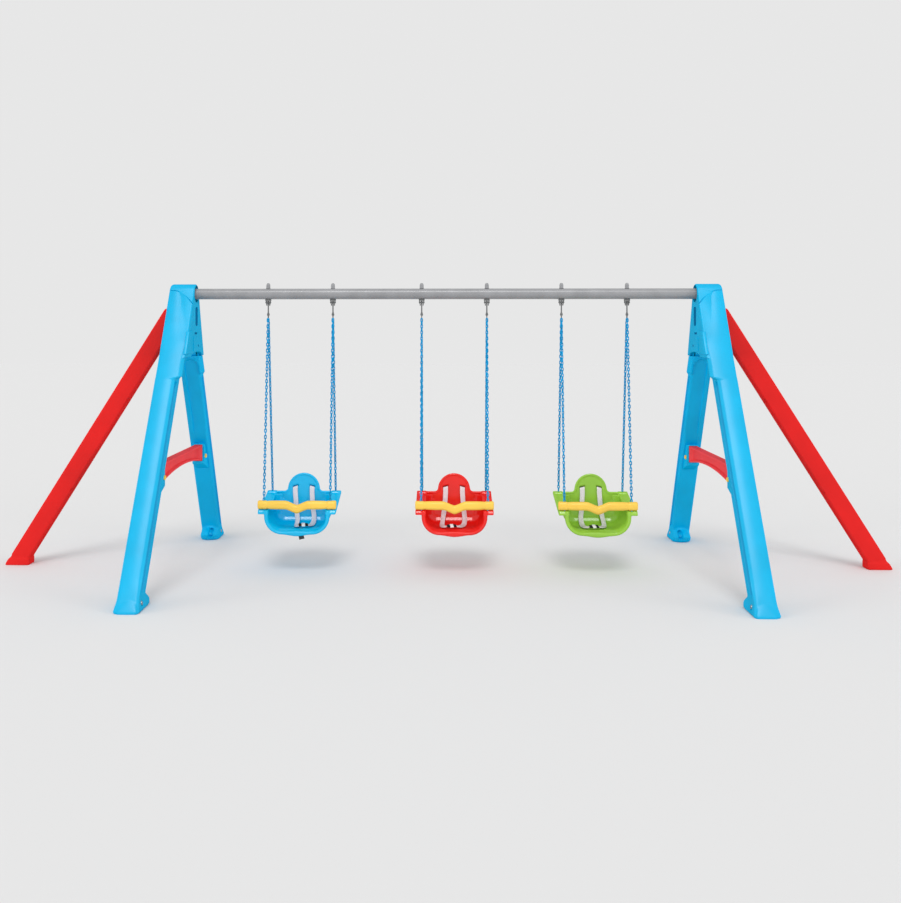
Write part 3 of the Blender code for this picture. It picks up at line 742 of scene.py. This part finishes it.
def cap_outline(inset):
    """A cap seen from the side: round over the beam, straight down both legs, arched below."""
    slope = math.atan(LEG_SLOPE)
    radius = leg_face(BEAM_Z) * math.cos(slope) - PANEL_PROUD - inset
    degrees = math.degrees(slope)
    outline = arc((0.0, BEAM_Z), radius, degrees, 180 - degrees, 40)
    edge = leg_face(CAP_Z) - (PANEL_PROUD + inset) / math.cos(slope)
    for share in steps(-1.0, 1.0, 48):
        arch = max(0.0, 1 - ((share - 0.18) / 0.62) ** 2)
        outline.append((edge * share, CAP_Z + inset + CAP_ARCH * math.sqrt(arch)))
    return outline


def cap_slant(y, z):
    """How far a cap's inner wall leans in at a point towards its rear leg."""
    return CAP_SLANT * max(0.0, CAP_SLANT_Z - z) * max(0.0, y) / leg_face(z)


def cap_shell(name, hand):
    """The cap over both legs, open round the beam on its inner side."""
    side = HANDS[hand]
    inner = CAP_IN_X + 0.001
    rings = []
    for deep, inset in rounded_edge(0.016):
        rings.append([(side * (CAP_OUT_X - deep), y, z) for y, z in cap_outline(inset)])
    for deep, inset in reversed(rounded_edge(0.007)):
        outline = cap_outline(inset)
        rings.append([(side * (inner + deep + cap_slant(y, z)), y, z) for y, z in outline])
    made = skin(name, rings)
    ends = [(side * (inner + offset), 0, BEAM_Z) for offset in (-0.02, 0.028)]
    cut(made, rod("mouth", *ends, MOUTH_R, 48))
    for y, z, half_y, half_z in CAP_HOLES:
        spans = (inner - 0.010, inner + 0.020), (y - half_y, y + half_y), (z - half_z, z + half_z)
        cut(made, soften(box("hole", *spans, side), min(half_y, half_z) * 0.8, 4))
    return made


def cap_shade_plates(hand):
    """Dark plates just behind the holes in a cap's inner wall: painted shade for the hollow inside."""
    plates = []
    for y, z, half_y, half_z in CAP_HOLES:
        deep = CAP_IN_X + 0.0035 + cap_slant(y, z)
        wide, high = half_y + 0.001, half_z + 0.001
        plate = box("plate", (deep, deep + 0.004), (y - wide, y + wide), (z - high, z + high), HANDS[hand])
        plates.append(soften(plate, min(half_y, half_z) * 0.8, 4))
    return gather(f"{hand}_cap_painted_shade", plates)


def seam_cutter(hand):
    """The arched joint line between a front leg's panel and the cap."""
    side = HANDS[hand]
    path = []
    for x in steps(CAP_OUT_X + 0.012, CAP_IN_X - 0.004, 40):
        z = panel_top(x) + 0.0030
        across = (x - SEAM_X) / SEAM_HALF
        path.append((side * x, -(leg_face(z) - PANEL_PROUD * 0.5 - CROWN * across * across), z))
    return bead("seam", path, 0.0036, 8)


def collar(hand):
    """A raised strip along the cap's inner face where the front leg goes in, and a rib behind it."""
    top_y, foot_y = -leg_face(1.246) - 0.0005, -leg_face(1.130) - 0.0005
    front = ((foot_y, 1.130), (-0.112, 1.130), (-0.112, 1.248), (top_y, 1.244))
    rib = ((-0.070, 1.140), (-0.020, 1.142), (-0.018, 1.220), (-0.066, 1.220))
    made = []
    for corners, proud, rounding in ((front, 0.0050, 0.0034), (rib, 0.0015, 0.0010)):
        strip = prism("strip", corners, (CAP_IN_X - proud, CAP_IN_X + 0.012), HANDS[hand])
        made.append(soften(strip, rounding))
    return made


def bolt_holes(made, hand, face):
    """The pocket for the crossbar's end, and the recess for the foot's anchor screw."""
    side = HANDS[hand]
    low, high = CROSSBAR_X - CROSSBAR_HALF_X - 0.0005, CROSSBAR_X + CROSSBAR_HALF_X + 0.0005
    rings = []
    for y in steps(LUG_Y - 0.01, CROSSBAR_HALF + 0.0006, 4):
        top, bottom = crossbar_edges(y, 0.0006)
        corners = ((low, top), (high, top), (high, bottom), (low, bottom))
        rings.append([(side * x, face * y, z) for x, z in corners])
    cut(made, skin("pocket", rings))
    y = face * (leg_face(0.0) - ANCHOR_IN)
    ends = [(side * (LEG_IN_X - offset), y, ANCHOR_Z) for offset in (0.020, 0.0005)]
    cut(made, rod("recess", *ends, 0.0125))


def build_legs():
    for hand in HANDS:
        for where, face in FACES.items():
            made = leg_shell(f"{hand}_{where}_leg_shell", hand, face)
            join(made, lug(hand, face))
            if face < 0:
                join(made, cap_shell("cap", hand))
                for strip in collar(hand):
                    join(made, strip)
                cut(made, seam_cutter(hand))
            bolt_holes(made, hand, face)
            # Rear legs take a lighter copy of the same plastic: painted light on their shaded faces.
            look = "sky_plastic" if face < 0 else "sky_rear"
            place(made, "frame", "sky_plastic", [f"{hand}_{where}_leg"], look)
        # Dark plates behind the cap's holes: painted shade for its hollow inside.
        place(cap_shade_plates(hand), "frame", "sky_plastic", look="sky_shade")


# ---- braces and crossbars


def brace_upper(z):
    """X of a brace's outer sloping face at height z."""
    return BRACE_FACE_X + BRACE_LAP + (BRACE_TOP_Z - z) * BRACE_SLOPE


def brace_ring(side, z, inset=0.0):
    """One level section of a brace, with a groove along each sloping face and crowned flanks."""
    toe_out = 0.0055 * smooth(0.046, 0.028, z) - 0.004 * smooth(0.062, 0.050, z)
    outer = brace_upper(z) - inset + (toe_out - 0.003 * smooth(0.018, 0.0, z))
    pad = 0.003 * smooth(BRACE_FOOT_Z + 0.008, BRACE_FOOT_Z - 0.006, z)
    inner = brace_upper(max(z, BRACE_FOOT_Z)) - BRACE_WIDTH + inset - pad
    inner = max(inner, BRACE_FACE_X + inset)
    low, high = BRACE_Y - BRACE_HALF_Y + inset - pad, BRACE_Y + BRACE_HALF_Y - inset + pad
    groove = 0.007 * smooth(0.070, 0.100, z) * smooth(1.20, 1.16, z)
    across = ((0.014, 0), (0.0125, 0.9), (0.011, 1), (-0.011, 1), (-0.0125, 0.9), (-0.014, 0))
    r = BRACE_CORNER
    outline = arc((outer - r, high - r), r, 0, 90, 5) + arc((inner + r, high - r), r, 90, 180, 5)
    outline += [(inner + groove * share, BRACE_Y + offset) for offset, share in across]
    outline += arc((inner + r, low + r), r, 180, 270, 5) + arc((outer - r, low + r), r, 270, 360, 5)
    outline += [(outer - groove * share, BRACE_Y - offset) for offset, share in across]
    points = []
    for x, y in outline:
        t = (x - (inner + outer) / 2) / ((outer - inner) / 2)
        crown = 0.0035 * t * t * smooth(r, 0.0, min(y - low, high - y))
        points.append((side * x, y + (crown if y < BRACE_Y else -crown), z))
    return points


def build_braces():
    corner_z = BRACE_TOP_Z - (BRACE_WIDTH - BRACE_LAP) / BRACE_SLOPE
    levels = [(0.0, 0.004), (0.0015, 0.0015)]
    levels += [(z, 0.0) for z in steps(0.005, 0.100, 24) + steps(0.100, corner_z, 24)[1:]]
    levels += [(z, 0.0) for z in steps(corner_z, BRACE_TOP_Z - 0.008, 6)[1:]]
    levels += [(BRACE_TOP_Z - 0.003, 0.0015), (BRACE_TOP_Z, 0.005)]
    low_y = BRACE_Y - BRACE_HALF_Y
    for hand, side in HANDS.items():
        made = skin(f"{hand}_brace_shell", [brace_ring(side, z, inset) for z, inset in levels])
        for z in BRACE_NOTCHES:
            inner = brace_upper(z) - BRACE_WIDTH
            spans = (inner - 0.02, inner + 0.008), (low_y + 0.004, low_y + 0.020), (z - 0.012, z + 0.012)
            cut(made, soften(box("notch", *spans, side), 0.003, 2))
        place(made, "frame", "red_plastic", [f"{hand}_brace"])


def crossbar_ring(y):
    """One section of a crossbar: flanges above and below a web that fades into solid ends."""
    top, bottom = crossbar_edges(y)
    web = 0.016 * smooth(LUG_Y - 0.012, LUG_Y - 0.030, abs(y))
    half = CROSSBAR_HALF_X - (0.002 if abs(y) == CROSSBAR_HALF else 0.0)
    lip, slope, r = 0.0085, 0.006, 0.003
    edge = [(half - r, 0.0), (half - 0.001, 0.001), (half, r), (half, lip)]
    edge += [(half - web * 0.15, lip + 0.0012), (half - web * 0.9, lip + slope)]
    edge += [(half - web, lip + slope + 0.003)]
    right = [(x, top - d) for x, d in edge] + [(x, bottom + d) for x, d in reversed(edge)]
    return right + mirrored(right)


def build_crossbars():
    ends = [CROSSBAR_HALF - 0.002, *steps(LUG_Y - 0.004, LUG_Y - 0.040, 9)]
    stations = [-CROSSBAR_HALF, *[-y for y in ends], *steps(-0.340, 0.340, 36), *ends[::-1], CROSSBAR_HALF]
    for hand, side in HANDS.items():
        rings = [[(side * CROSSBAR_X + x, y, z) for x, z in crossbar_ring(y)] for y in stations]
        made = skin(f"{hand}_crossbar_shell", rings)
        place(made, "frame", "red_plastic", [f"{hand}_crossbar"], "crossbar")


# ---- beam, bolts and hangers


def build_beam():
    low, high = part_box("beam")
    inner, edge = BEAM_R - BEAM_WALL, 0.0005
    profile = [(low.x, inner), (low.x, BEAM_R - edge), (low.x + edge, BEAM_R)]
    profile += [(x, BEAM_R) for x in steps(low.x, high.x, 12)[1:-1]]
    profile += [(high.x - edge, BEAM_R), (high.x, BEAM_R - edge), (high.x, inner)]
    rings = []
    for x, radius in profile:
        rings.append([(x, y, BEAM_Z + z) for y, z in arc((0, 0), radius, 0, 354.375, 63)])
    place(skin("beam_tube", rings, loop=True), "frame", "grey_steel", ["beam"])


def dome(radius, height):
    """Profile of a domed head from its seat upwards."""
    edge = height * 0.45
    profile = [(0.0, radius * 0.96), (edge * 0.15, radius), (edge, radius)]
    for a in steps(0, 84, 6)[1:]:
        turn = math.radians(a)
        profile.append((edge + (height - edge) * math.sin(turn), radius * (0.30 + 0.70 * math.cos(turn))))
    return profile


def build_frame_bolts():
    screw_profile = [(0.0, 0.0105), (0.0012, 0.0108), (0.0022, 0.0100), (0.0022, 0.0080)]
    screw_profile += [(0.0048, 0.0076), (0.0058, 0.0062), (0.0058, 0.0036), (0.0022, 0.0034)]
    screw_profile += [(0.0021, 0.0008)]
    slope = math.atan(LEG_SLOPE)
    radius = leg_face(BEAM_Z) * math.cos(slope) - PANEL_PROUD
    for hand, side in HANDS.items():
        for where, face in FACES.items():
            x = side * (CROSSBAR_X - LUG_HALF_X)
            ends = [(x - side * offset, face * CAP_BOLT_Y, CAP_BOLT_Z) for offset in (0.0003, 0.020)]
            cap = turned(f"{hand}_{where}_bolt_cover", *ends, dome(0.0115, 0.009))
            place(cap, "frame", "yellow_plastic", [f"{hand}_{where}_cap_bolt"])
            x, y = side * (LEG_IN_X - 0.0006), face * (leg_face(0.0) - ANCHOR_IN)
            ends = [(x, y, ANCHOR_Z), (x - side * 0.02, y, ANCHOR_Z)]
            screw = turned(f"{hand}_{where}_foot_screw", *ends, screw_profile, 24)
            place(screw, "frame", "grey_steel", [f"{hand}_{where}_anchor_screw"], "zinc")
        low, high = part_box(f"{hand}_beam_bolt")
        x = (low.x + high.x) / 2
        outs = (radius - 0.001, radius + 0.02)
        ends = [(x, out * math.cos(slope), BEAM_Z + out * math.sin(slope)) for out in outs]
        bolt = turned(f"{hand}_beam_bolt_head", *ends, dome(0.0095, 0.007), 24)
        place(bolt, "frame", "grey_steel", [f"{hand}_beam_bolt"], "zinc")


def hanger_ear(x, ear_side, plate_top, pin_z):
    """An ear that tapers from the plate to below its pin: (height, outer X, half width)."""
    rings = []
    for z, out, half in (
        (plate_top - 0.001, 0.0145, 0.0115),
        (pin_z + 0.008, 0.0128, 0.0112),
        (pin_z, 0.0115, 0.0102),
        (pin_z - 0.009, 0.0104, 0.0080),
        (pin_z - 0.015, 0.0098, 0.0052),
        (pin_z - 0.0175, 0.0096, 0.0025),
    ):
        low, high = x + ear_side * (out - 0.0045), x + ear_side * out
        rings.append([(low, -half, z), (high, -half, z), (high, half, z), (low, half, z)])
    return skin("ear", rings)


def hanger_bracket(name, x, pin_z):
    """The plate with its two ears, and the riveted pin between them."""
    plate_top = BEAM_Z - BEAM_R - 0.0003
    outline = rounded(0.0150, 0.012, 0.003, 4)
    levels = (plate_top - 0.0075, plate_top)
    made = skin("plate", [[(x + a, b, z) for a, b in outline] for z in levels])
    for ear_side in (-1, 1):
        join(made, hanger_ear(x, ear_side, plate_top, pin_z))
    soften(made, 0.0007, 2)
    pieces = [made, rod("pin", (x - 0.0150, 0, pin_z), (x + 0.0150, 0, pin_z), PIN_R, 24)]
    for ear_side in (-1, 1):
        ends = [(x + ear_side * offset, 0, pin_z) for offset in (0.0110, 0.02)]
        pieces.append(turned("rivet", *ends, dome(0.0062, 0.0035), 20))
    return gather(name, pieces)


def swivel_eye(name, x, pin_z):
    """The eye on the pin, its tapered shaft, and the loop that holds both chains."""
    eye = rod("ring", (x - 0.004, 0, pin_z), (x + 0.004, 0, pin_z), 0.0075)
    cut(eye, rod("hole", (x - 0.01, 0, pin_z), (x + 0.01, 0, pin_z), PIN_R + 0.0005, 24))
    soften(eye, 0.001, 2)
    top, foot = pin_z - 0.006, CHAIN_TOP[1] + 0.0100
    profile = [(0.0, 0.0056), (0.004, 0.0072), (0.008, 0.0070), (0.019, 0.0036)]
    profile += [(top - foot - 0.004, 0.0034), (top - foot, 0.0042)]
    shaft = turned("shaft", (x, 0, foot), (x, 0, top), profile, 20)
    loop = link((x, 0, CHAIN_TOP[1] + 0.0085), (0, 0, 1), 90, 0.0068, 0.0030)
    return gather(name, [eye, shaft, loop])


def build_hanger(hand, letter):
    """Cap nut over the beam, a bracket under it, and the swivelling eye in between its ears."""
    pin_z = PIVOTS[hand].z
    x = PIVOTS[hand].x + LETTERS[letter] * CHAIN_X
    top = BEAM_Z + BEAM_R
    stem = f"{hand}_hanger_{letter}"
    profile = [(0.0, 0.0125), (0.0015, 0.0125), (0.0018, 0.0105)]
    profile += [(0.0018 + d, r) for d, r in dome(0.0105, 0.0270)[1:]]
    nut = turned(f"{stem}_cap_nut", (x, 0, top - 0.0002), (x, 0, top + 0.03), profile, 24)
    place(nut, "frame", "grey_steel", [f"{stem}_bolt"])
    bracket = hanger_bracket(f"{stem}_bracket", x, pin_z)
    place(bracket, "frame", "dark_steel", [f"{stem}_clevis"])
    eye = swivel_eye(f"{stem}_swivel_eye", x, pin_z)
    place(eye, f"{hand}_swing", "dark_steel", [f"{stem}_eye"])


# ---- chains


def link(centre, axis, turn, half_width, straight):
    """One link: a rounded wire loop with its long way along axis, turned about it by some degrees."""
    frame_turn = Vector(axis).to_track_quat("Z", "Y").to_matrix()
    frame_turn = frame_turn @ Matrix.Rotation(math.radians(turn), 3, "Z")
    path = arc((0.0, straight), half_width, 0, 180, 6) + arc((0.0, -straight), half_width, 180, 360, 6)
    wire = arc((0, 0), LINK_WIRE, 0, 315, 7)
    flat = Vector((0, 1, 0))
    rings = []
    for i, (u, v) in enumerate(path):
        before, after = path[i - 1], path[(i + 1) % len(path)]
        run = Vector((after[0] - before[0], 0, after[1] - before[1])).normalized()
        across = flat.cross(run)
        ring = [Vector((u, 0, v)) + across * a + flat * b for a, b in wire]
        rings.append([Vector(centre) + frame_turn @ local for local in ring])
    return skin("link", rings, loop=True)


def build_chain(hand, letter, where):
    """A short-link chain from the swivel eye to the seat, its links turned in turn."""
    face = FACES[where]
    x = PIVOTS[hand].x + LETTERS[letter] * CHAIN_X
    top = Vector((x, face * CHAIN_TOP[0], CHAIN_TOP[1]))
    foot = Vector((x, *(FRONT_CHAIN_FOOT if face < 0 else REAR_CHAIN_FOOT)))
    axis = (top - foot).normalized()
    links = []
    for i in range(round((top - foot).length / LINK_PITCH)):
        at = top - axis * (i + 0.85) * LINK_PITCH
        turn = CHAIN_TWISTS[letter, where] + 90 * (i % 2) + 10 * math.sin(i * 0.7 + x * 9)
        links.append(link(at, axis, turn, LINK_HALF_WIDTH, LINK_HALF_RUN))
    made = gather(f"{hand}_links_{where}_{letter}", links)
    nodes = [f"{hand}_chain_{where}_{letter}"]
    place(made, f"{hand}_swing", "chain_blue", nodes, angle=80)


# ---- seats, guard bars and harnesses


def trough_ring(y, half, bottom, top, wall, floor, radius, bulge=0.0):
    """A U seen from the front; bulge lets its lower edge hang in the middle."""

    def arm(half_width, lowest, corner, drop):
        points = [(-half_width, z) for z in steps(top, lowest + corner, 4)[:-1]]
        points += arc((-half_width + corner, lowest + corner), corner, 180, 270, 10)
        middle = steps(-half_width + corner, half_width - corner, 16)[1:-1]
        points += [(x, lowest - drop * smooth(0.080, 0.0, abs(x))) for x in middle]
        points += arc((half_width - corner, lowest + corner), corner, 270, 360, 10)
        return points + [(half_width, z) for z in steps(lowest + corner, top, 4)[1:]]

    outside = arm(half, bottom, radius, bulge)
    inside = arm(half - wall, bottom + floor, radius - wall, -0.002 if bulge else 0.0)
    return [(x, y, z) for x, z in outside + inside[::-1]]


def back_outline(grow=0.0):
    """The backrest seen from the front: a U below, shoulders with fillets, a round arch on top."""
    half, corner, bottom = 0.149, 0.066, PAN_Z
    edge, rise, r = half + 0.034 + grow, SHOULDER_Z + grow, 0.008
    below = arc((half - corner, bottom + corner), corner, 270, 360, 8)
    right = [(half, 0.330), (edge, 0.352), *arc((edge - r, rise - r), r, 0, 90, 3)]
    fillet = 0.018 - grow
    foot_x = math.sqrt((ARCH_R + grow + fillet) ** 2 - (rise + fillet - ARCH_Z) ** 2)
    swing = math.degrees(math.atan2(rise + fillet - ARCH_Z, foot_x))
    right += arc((foot_x, rise + fillet), fillet, 270, 180 + swing, 6)
    arch = arc((0.0, ARCH_Z), ARCH_R + grow, swing, 180 - swing, 40)
    return mirrored(below) + below + right + arch[1:-1] + mirrored(right)


def lean(x, z, offset):
    """A point on the backrest, offset behind its front surface."""
    return x, BACK_Y + offset + (z - PAN_Z) * BACK_LEAN, z


def back_edge():
    """The open upper edge of the backrest, from one shoulder over the arch to the other."""
    return [(x, z) for x, z in back_outline(-0.0055) if z > 0.37]


def runs(path):
    """Each point of a path as a vector, with the path's direction there."""
    points = [Vector(p) for p in path]
    befores, afters = [points[0], *points], [*points[1:], points[-1]]
    return [(p, (b - a).normalized()) for a, p, b in zip(befores, points, afters)]


def bead(name, path, radius, sides=10):
    """A round bead along a path of points."""
    circle = arc((0, 0), radius, 0, 360 - 360 / sides, sides - 1)
    rings = []
    for here, run in runs(path):
        turn = run.to_track_quat("Z", "Y")
        rings.append([here + turn @ Vector((x, y, 0)) for x, y in circle])
    return skin(name, rings)


def seat_trough():
    """The seat's pan and sides as U sections, from the front rim back, bent up into the back."""
    front = SEAT_FRONT_Y
    sections = (
        (front, SEAT_HALF - 0.006, 0.213, 0.326, 0.009, 0.007, 0.086, 0.009),
        (front + 0.003, SEAT_HALF - 0.002, 0.209, 0.330, 0.016, 0.013, 0.089, 0.009),
        (front + 0.009, SEAT_HALF, 0.207, 0.332, 0.021, 0.017, 0.091, 0.009),
        (front + 0.018, SEAT_HALF, 0.208, 0.333, 0.0215, 0.0175, 0.091, 0.007),
        (front + 0.028, SEAT_HALF - 0.002, 0.214, 0.334, 0.017, 0.014, 0.090),
        (front + 0.040, 0.1620, 0.2235, 0.334, 0.008, 0.008, 0.084),
        (-0.060, 0.1605, 0.2235, 0.340, 0.006, 0.007, 0.080),
        (-0.012, 0.1590, 0.2230, 0.345, 0.006, 0.007, 0.074),
    )
    rings = [trough_ring(*section) for section in sections]

    def bend_ring(y, half, top, grow):
        return trough_ring(y, half, PAN_UNDER_Z, top, 0.006 + grow, 0.007 + grow, 0.064)

    flat_y, flat_z = BEND_FLAT * math.sin(BEND_TILT), BEND_FLAT * math.cos(BEND_TILT)
    start = BACK_Y + 0.001 - BEND_R - flat_y
    for turn, flat in [(a, 0) for a in steps(0, 58.5, 7)] + [(a, 1) for a in steps(58.5, 90, 5)]:
        angle = math.radians(turn)
        y = start + BEND_R * math.sin(angle) + flat * flat_y
        grow = BEND_R * (1 - math.cos(angle)) + flat * flat_z
        rings.append(bend_ring(y, mix(0.1535, 0.150, turn / 90), 0.375, grow))
    rings.append(bend_ring(BACK_Y + 0.006, 0.150, 0.378, grow))
    return skin("seat_shape", rings)


def armrest(side):
    """An armrest that rises to the shoulder: (Y, top, thickness) of its sections."""
    front = SEAT_FRONT_Y
    rings = []
    for y, top, thick in (
        (front + 0.0003, ARM_FRONT_Z - 0.0185, 0.006),
        (front + 0.0012, ARM_FRONT_Z - 0.0150, 0.010),
        (front + 0.0082, ARM_FRONT_Z - 0.0036, 0.021),
        (front + 0.0180, ARM_FRONT_Z - 0.0003, 0.024),
        (front + 0.055, ARM_FRONT_Z, 0.018),
        (0.100, 0.376, 0.015),
        (0.148, SHOULDER_Z, 0.015),
    ):
        inner, outer, low = side * ARM_IN, side * ARM_OUT, top - thick
        rings.append([(inner, y, top), (outer, y, top), (outer, y, low), (inner, y, low)])
    return soften(skin("arm", rings), 0.006)


def shoulder(side):
    """The wedge between an armrest's rear end and the backrest."""
    wedge = [(0.100, 0.352), (0.150, 0.352), (0.150, SHOULDER_Z), (0.112, SHOULDER_Z)]
    return soften(prism("shoulder", wedge, (ARM_IN, ARM_OUT - 0.004), side), 0.005)


def seat_shape():
    """A bucket seat about X = 0: trough, backrest and armrests under one moulded skin."""
    made = seat_trough()
    outline = back_outline(-0.003)
    join(made, skin("back", [[lean(x, z, offset) for x, z in outline] for offset in (0.0, 0.009)]))
    path = [lean(x, z, 0.0035) for x, z in back_edge()]
    join(made, bead("bead", path, 0.0072))
    for side in (-1, 1):
        join(made, armrest(side))
        join(made, shoulder(side))
        cut(made, slot_block(side, (-0.03, 0.0060), 0.0))
    return remesh(made, 0.0026, 8)


def slot_block(side, offsets, inset):
    """A slanted block where a strap goes through the backrest, to cut its slot, or as a dark plate of
    painted shade inside it.
    """
    corners = ((-1, -0.0095, 1), (1, -0.0020, 1), (1, 0.0100, -1), (-1, 0.0025, -1))
    rings = []
    for offset in offsets:
        ring = []
        for edge, z, inward in corners:
            x = side * (STRAP_X - edge * (0.0165 - inset))
            ring.append(lean(x, STRAP_TOP_Z + 0.005 + z + inward * inset, offset))
        rings.append(ring)
    return skin("slot", rings)


def ribbon(name, path, half, thick, across=(1, 0, 0)):
    """A flat strap along a path, with its width as near to across as the path allows."""
    section = ((-1, -0.6), (-0.94, -1), (0.94, -1), (1, -0.6), (1, 0.6), (0.94, 1), (-0.94, 1), (-1, 0.6))
    rings = []
    for here, run in runs(path):
        wide = Vector(across) - run * run.dot(Vector(across))
        wide.normalize()
        up = run.cross(wide)
        rings.append([here + wide * half * u + up * thick / 2 * v for u, v in section])
    return skin(name, rings)


def smooth_path(points, count):
    """A Catmull-Rom curve through the points."""
    knots = [Vector(p) for p in points]
    knots = [knots[0] * 2 - knots[1], *knots, knots[-1] * 2 - knots[-2]]
    path = []
    for i in range(1, len(knots) - 2):
        a, b, c, d = knots[i - 1 : i + 3]
        for t in steps(0.0, 1.0, count)[:-1]:
            curve = (2 * a - 5 * b + 4 * c - d) * t * t + (3 * b - a - 3 * c + d) * t**3
            path.append(0.5 * (2 * b + (c - a) * t + curve))
    return path + [knots[-2]]


def bar_ring(x, inset=0.0, notch=0.0):
    """The guard bar's section at x."""
    bend = max(0.0, 1.0 - abs(x) / 0.062)
    dip = BAR_DIP * bend * bend * (3 - 2 * bend) + 0.003 * bend**3
    bow = 0.010 * (1 - (x / BAR_HALF) ** 2)
    middle_z = ARM_FRONT_Z + 0.0003 + BAR_HEIGHT / 2 - dip
    middle_y = FRONT_CHAIN_FOOT[0] + BAR_HEIGHT / 2 * 0.14 - bow
    half_y, half_z = BAR_DEPTH / 2 - inset - notch, BAR_HEIGHT / 2 - inset - notch
    outline = rounded(half_y, half_z, BAR_CORNER - inset, 6)
    return [(x, middle_y + y, middle_z + z) for y, z in outline]


def guard_bar_shape():
    """A bar with a block at each end, a shallow neck beside it, and a hole for each front chain."""
    half = [(x, 0.0, 0.0) for x in steps(0.0, 0.080, 24)]
    half += [(x, 0.0, notch) for x, notch in BAR_NECK]
    half += [(BAR_HALF - deep, inset, 0.0) for deep, inset in reversed(rounded_edge(BAR_END_R))]
    every = [(-x, inset, notch) for x, inset, notch in reversed(half[1:])] + half
    made = skin("guard_bar_shape", [bar_ring(*station) for station in every])
    foot = Vector((0, *FRONT_CHAIN_FOOT))
    along = (Vector((0, -CHAIN_TOP[0], CHAIN_TOP[1])) - foot).normalized()
    for side in (-1, 1):
        middle = foot + along * 0.02 + Vector((side * CHAIN_X, 0, 0))
        cut(made, rod("hole", middle - along * 0.05, middle + along * 0.05, 0.0085, 24))
    return made


def shoulder_strap(side, hand):
    """From behind the backrest through its slot, down the front and in along the pan."""
    route = [
        lean(STRAP_X, STRAP_TOP_Z - 0.052, 0.0150),
        lean(STRAP_X, STRAP_TOP_Z - 0.018, 0.0148),
        lean(STRAP_X, STRAP_TOP_Z - 0.001, 0.0115),
        lean(STRAP_X, STRAP_TOP_Z + 0.0025, 0.0040),
        lean(STRAP_X, STRAP_TOP_Z - 0.004, -0.0042),
        lean(STRAP_X, STRAP_TOP_Z - 0.024, -0.0055),
    ]
    which = hand if hand == "left" else "other"
    high_x, low_x, bend_x, pan_x, *ends = STRAP_ROUTES[which, side]
    route += [lean(high_x, 0.350, -0.0070), lean(low_x, 0.300, -0.0110)]
    route += [(bend_x, 0.083, STRAP_Z + 0.024), (pan_x, 0.036, STRAP_Z + 0.008)]
    route += [(x, y, STRAP_Z + rise) for (x, y), rise in zip(ends, (0.003, 0.005, 0.010))]
    path = [(side * x, y, z) for x, y, z in smooth_path(route, 6)]
    return ribbon("strap", path, STRAP_HALF, STRAP_THICK, (1, 0, -0.3 * side))


def buckle_pieces(hand):
    """The buckle's pale body and the two dark ends that hold the straps."""
    middle = (0.026, -0.087, 0.2465) if hand == "left" else (-0.014, -0.098, 0.2465)
    turn = Matrix.Translation(middle) @ Matrix.Rotation(math.radians(12), 4, "Z")
    turn = turn @ Matrix.Rotation(math.radians(20), 4, "X")
    pieces = [box("body", (-0.0090, 0.0090), (-0.0135, 0.0135), (-0.0035, 0.0045))]
    for side in (-1, 1):
        pieces.append(box("end", (0.0085, 0.0240), (-0.0120, 0.0120), (-0.0030, 0.0030), side))
    for piece in pieces:
        soften(piece, 0.0022)
        piece.data.transform(turn)
    return pieces


def strap_tail():
    """The harness's loose end, which hangs below one seat."""
    path = smooth_path([(0.012, -0.100, 0.232), (0.014, -0.101, 0.205), (0.021, -0.104, 0.176)], 6)
    return ribbon("tail", path, 0.0135, 0.0030)


def place_copy(shape, hand, name, body, slot, nodes=(), look=None):
    """Places a copy of a shape made about X = 0 at one of the swings."""
    mesh = shape.data.copy()
    mesh.transform(Matrix.Translation((PIVOTS[hand].x, 0, 0)))
    obj = add_object(f"{hand}_{name}", mesh)
    place(obj, f"{hand}_{body}", slot, nodes, look, 60)


def place_once(shape, *values, **settings):
    """As place_copy, and removes the shape itself."""
    place_copy(shape, *values, **settings)
    bpy.data.objects.remove(shape)


def build_swing(hand, seat, bar):
    colour = SEAT_COLOURS[hand]
    slot = f"{colour}_plastic"
    place_copy(seat, hand, "seat_shell", "swing", slot, [f"{hand}_seat"], f"{colour}_seat")
    place_copy(bar, hand, "guard_bar_shell", "bar", "yellow_plastic", [f"{hand}_guard_bar"])
    for letter, side in LETTERS.items():
        nodes = [f"{hand}_harness"] if side < 0 else ()
        place_once(shoulder_strap(side, hand), hand, f"strap_{letter}", "swing", "webbing", nodes)
    # Dark plates in the strap slots, a deep tint of the seat's colour: painted shade for the slots'
    # insides.
    linings = [slot_block(side, (0.0035, 0.0052), 0.001) for side in (-1, 1)]
    linings = gather("linings", linings)
    place_once(linings, hand, "slot_linings", "swing", slot, look=f"{colour}_shade")
    body, *clips = buckle_pieces(hand)
    place_once(body, hand, "buckle_middle", "swing", "webbing", look="label")
    if hand == "left":
        place_once(strap_tail(), hand, "strap_tail", "swing", "webbing", look="dark_webbing")
    clips = gather("clips", clips)
    place_once(clips, hand, "buckle_clips", "swing", "webbing", look="black_plastic")
    for letter in LETTERS:
        build_hanger(hand, letter)
        for where in FACES:
            build_chain(hand, letter, where)


def main():
    add_camera()
    add_stage()
    LOOKS.update(make_looks())
    build_beam()
    build_legs()
    build_braces()
    build_crossbars()
    build_frame_bolts()
    seat = seat_shape()
    bar = guard_bar_shape()
    for hand in PIVOTS:
        build_swing(hand, seat, bar)
    bpy.data.objects.remove(seat)
    bpy.data.objects.remove(bar)


main()
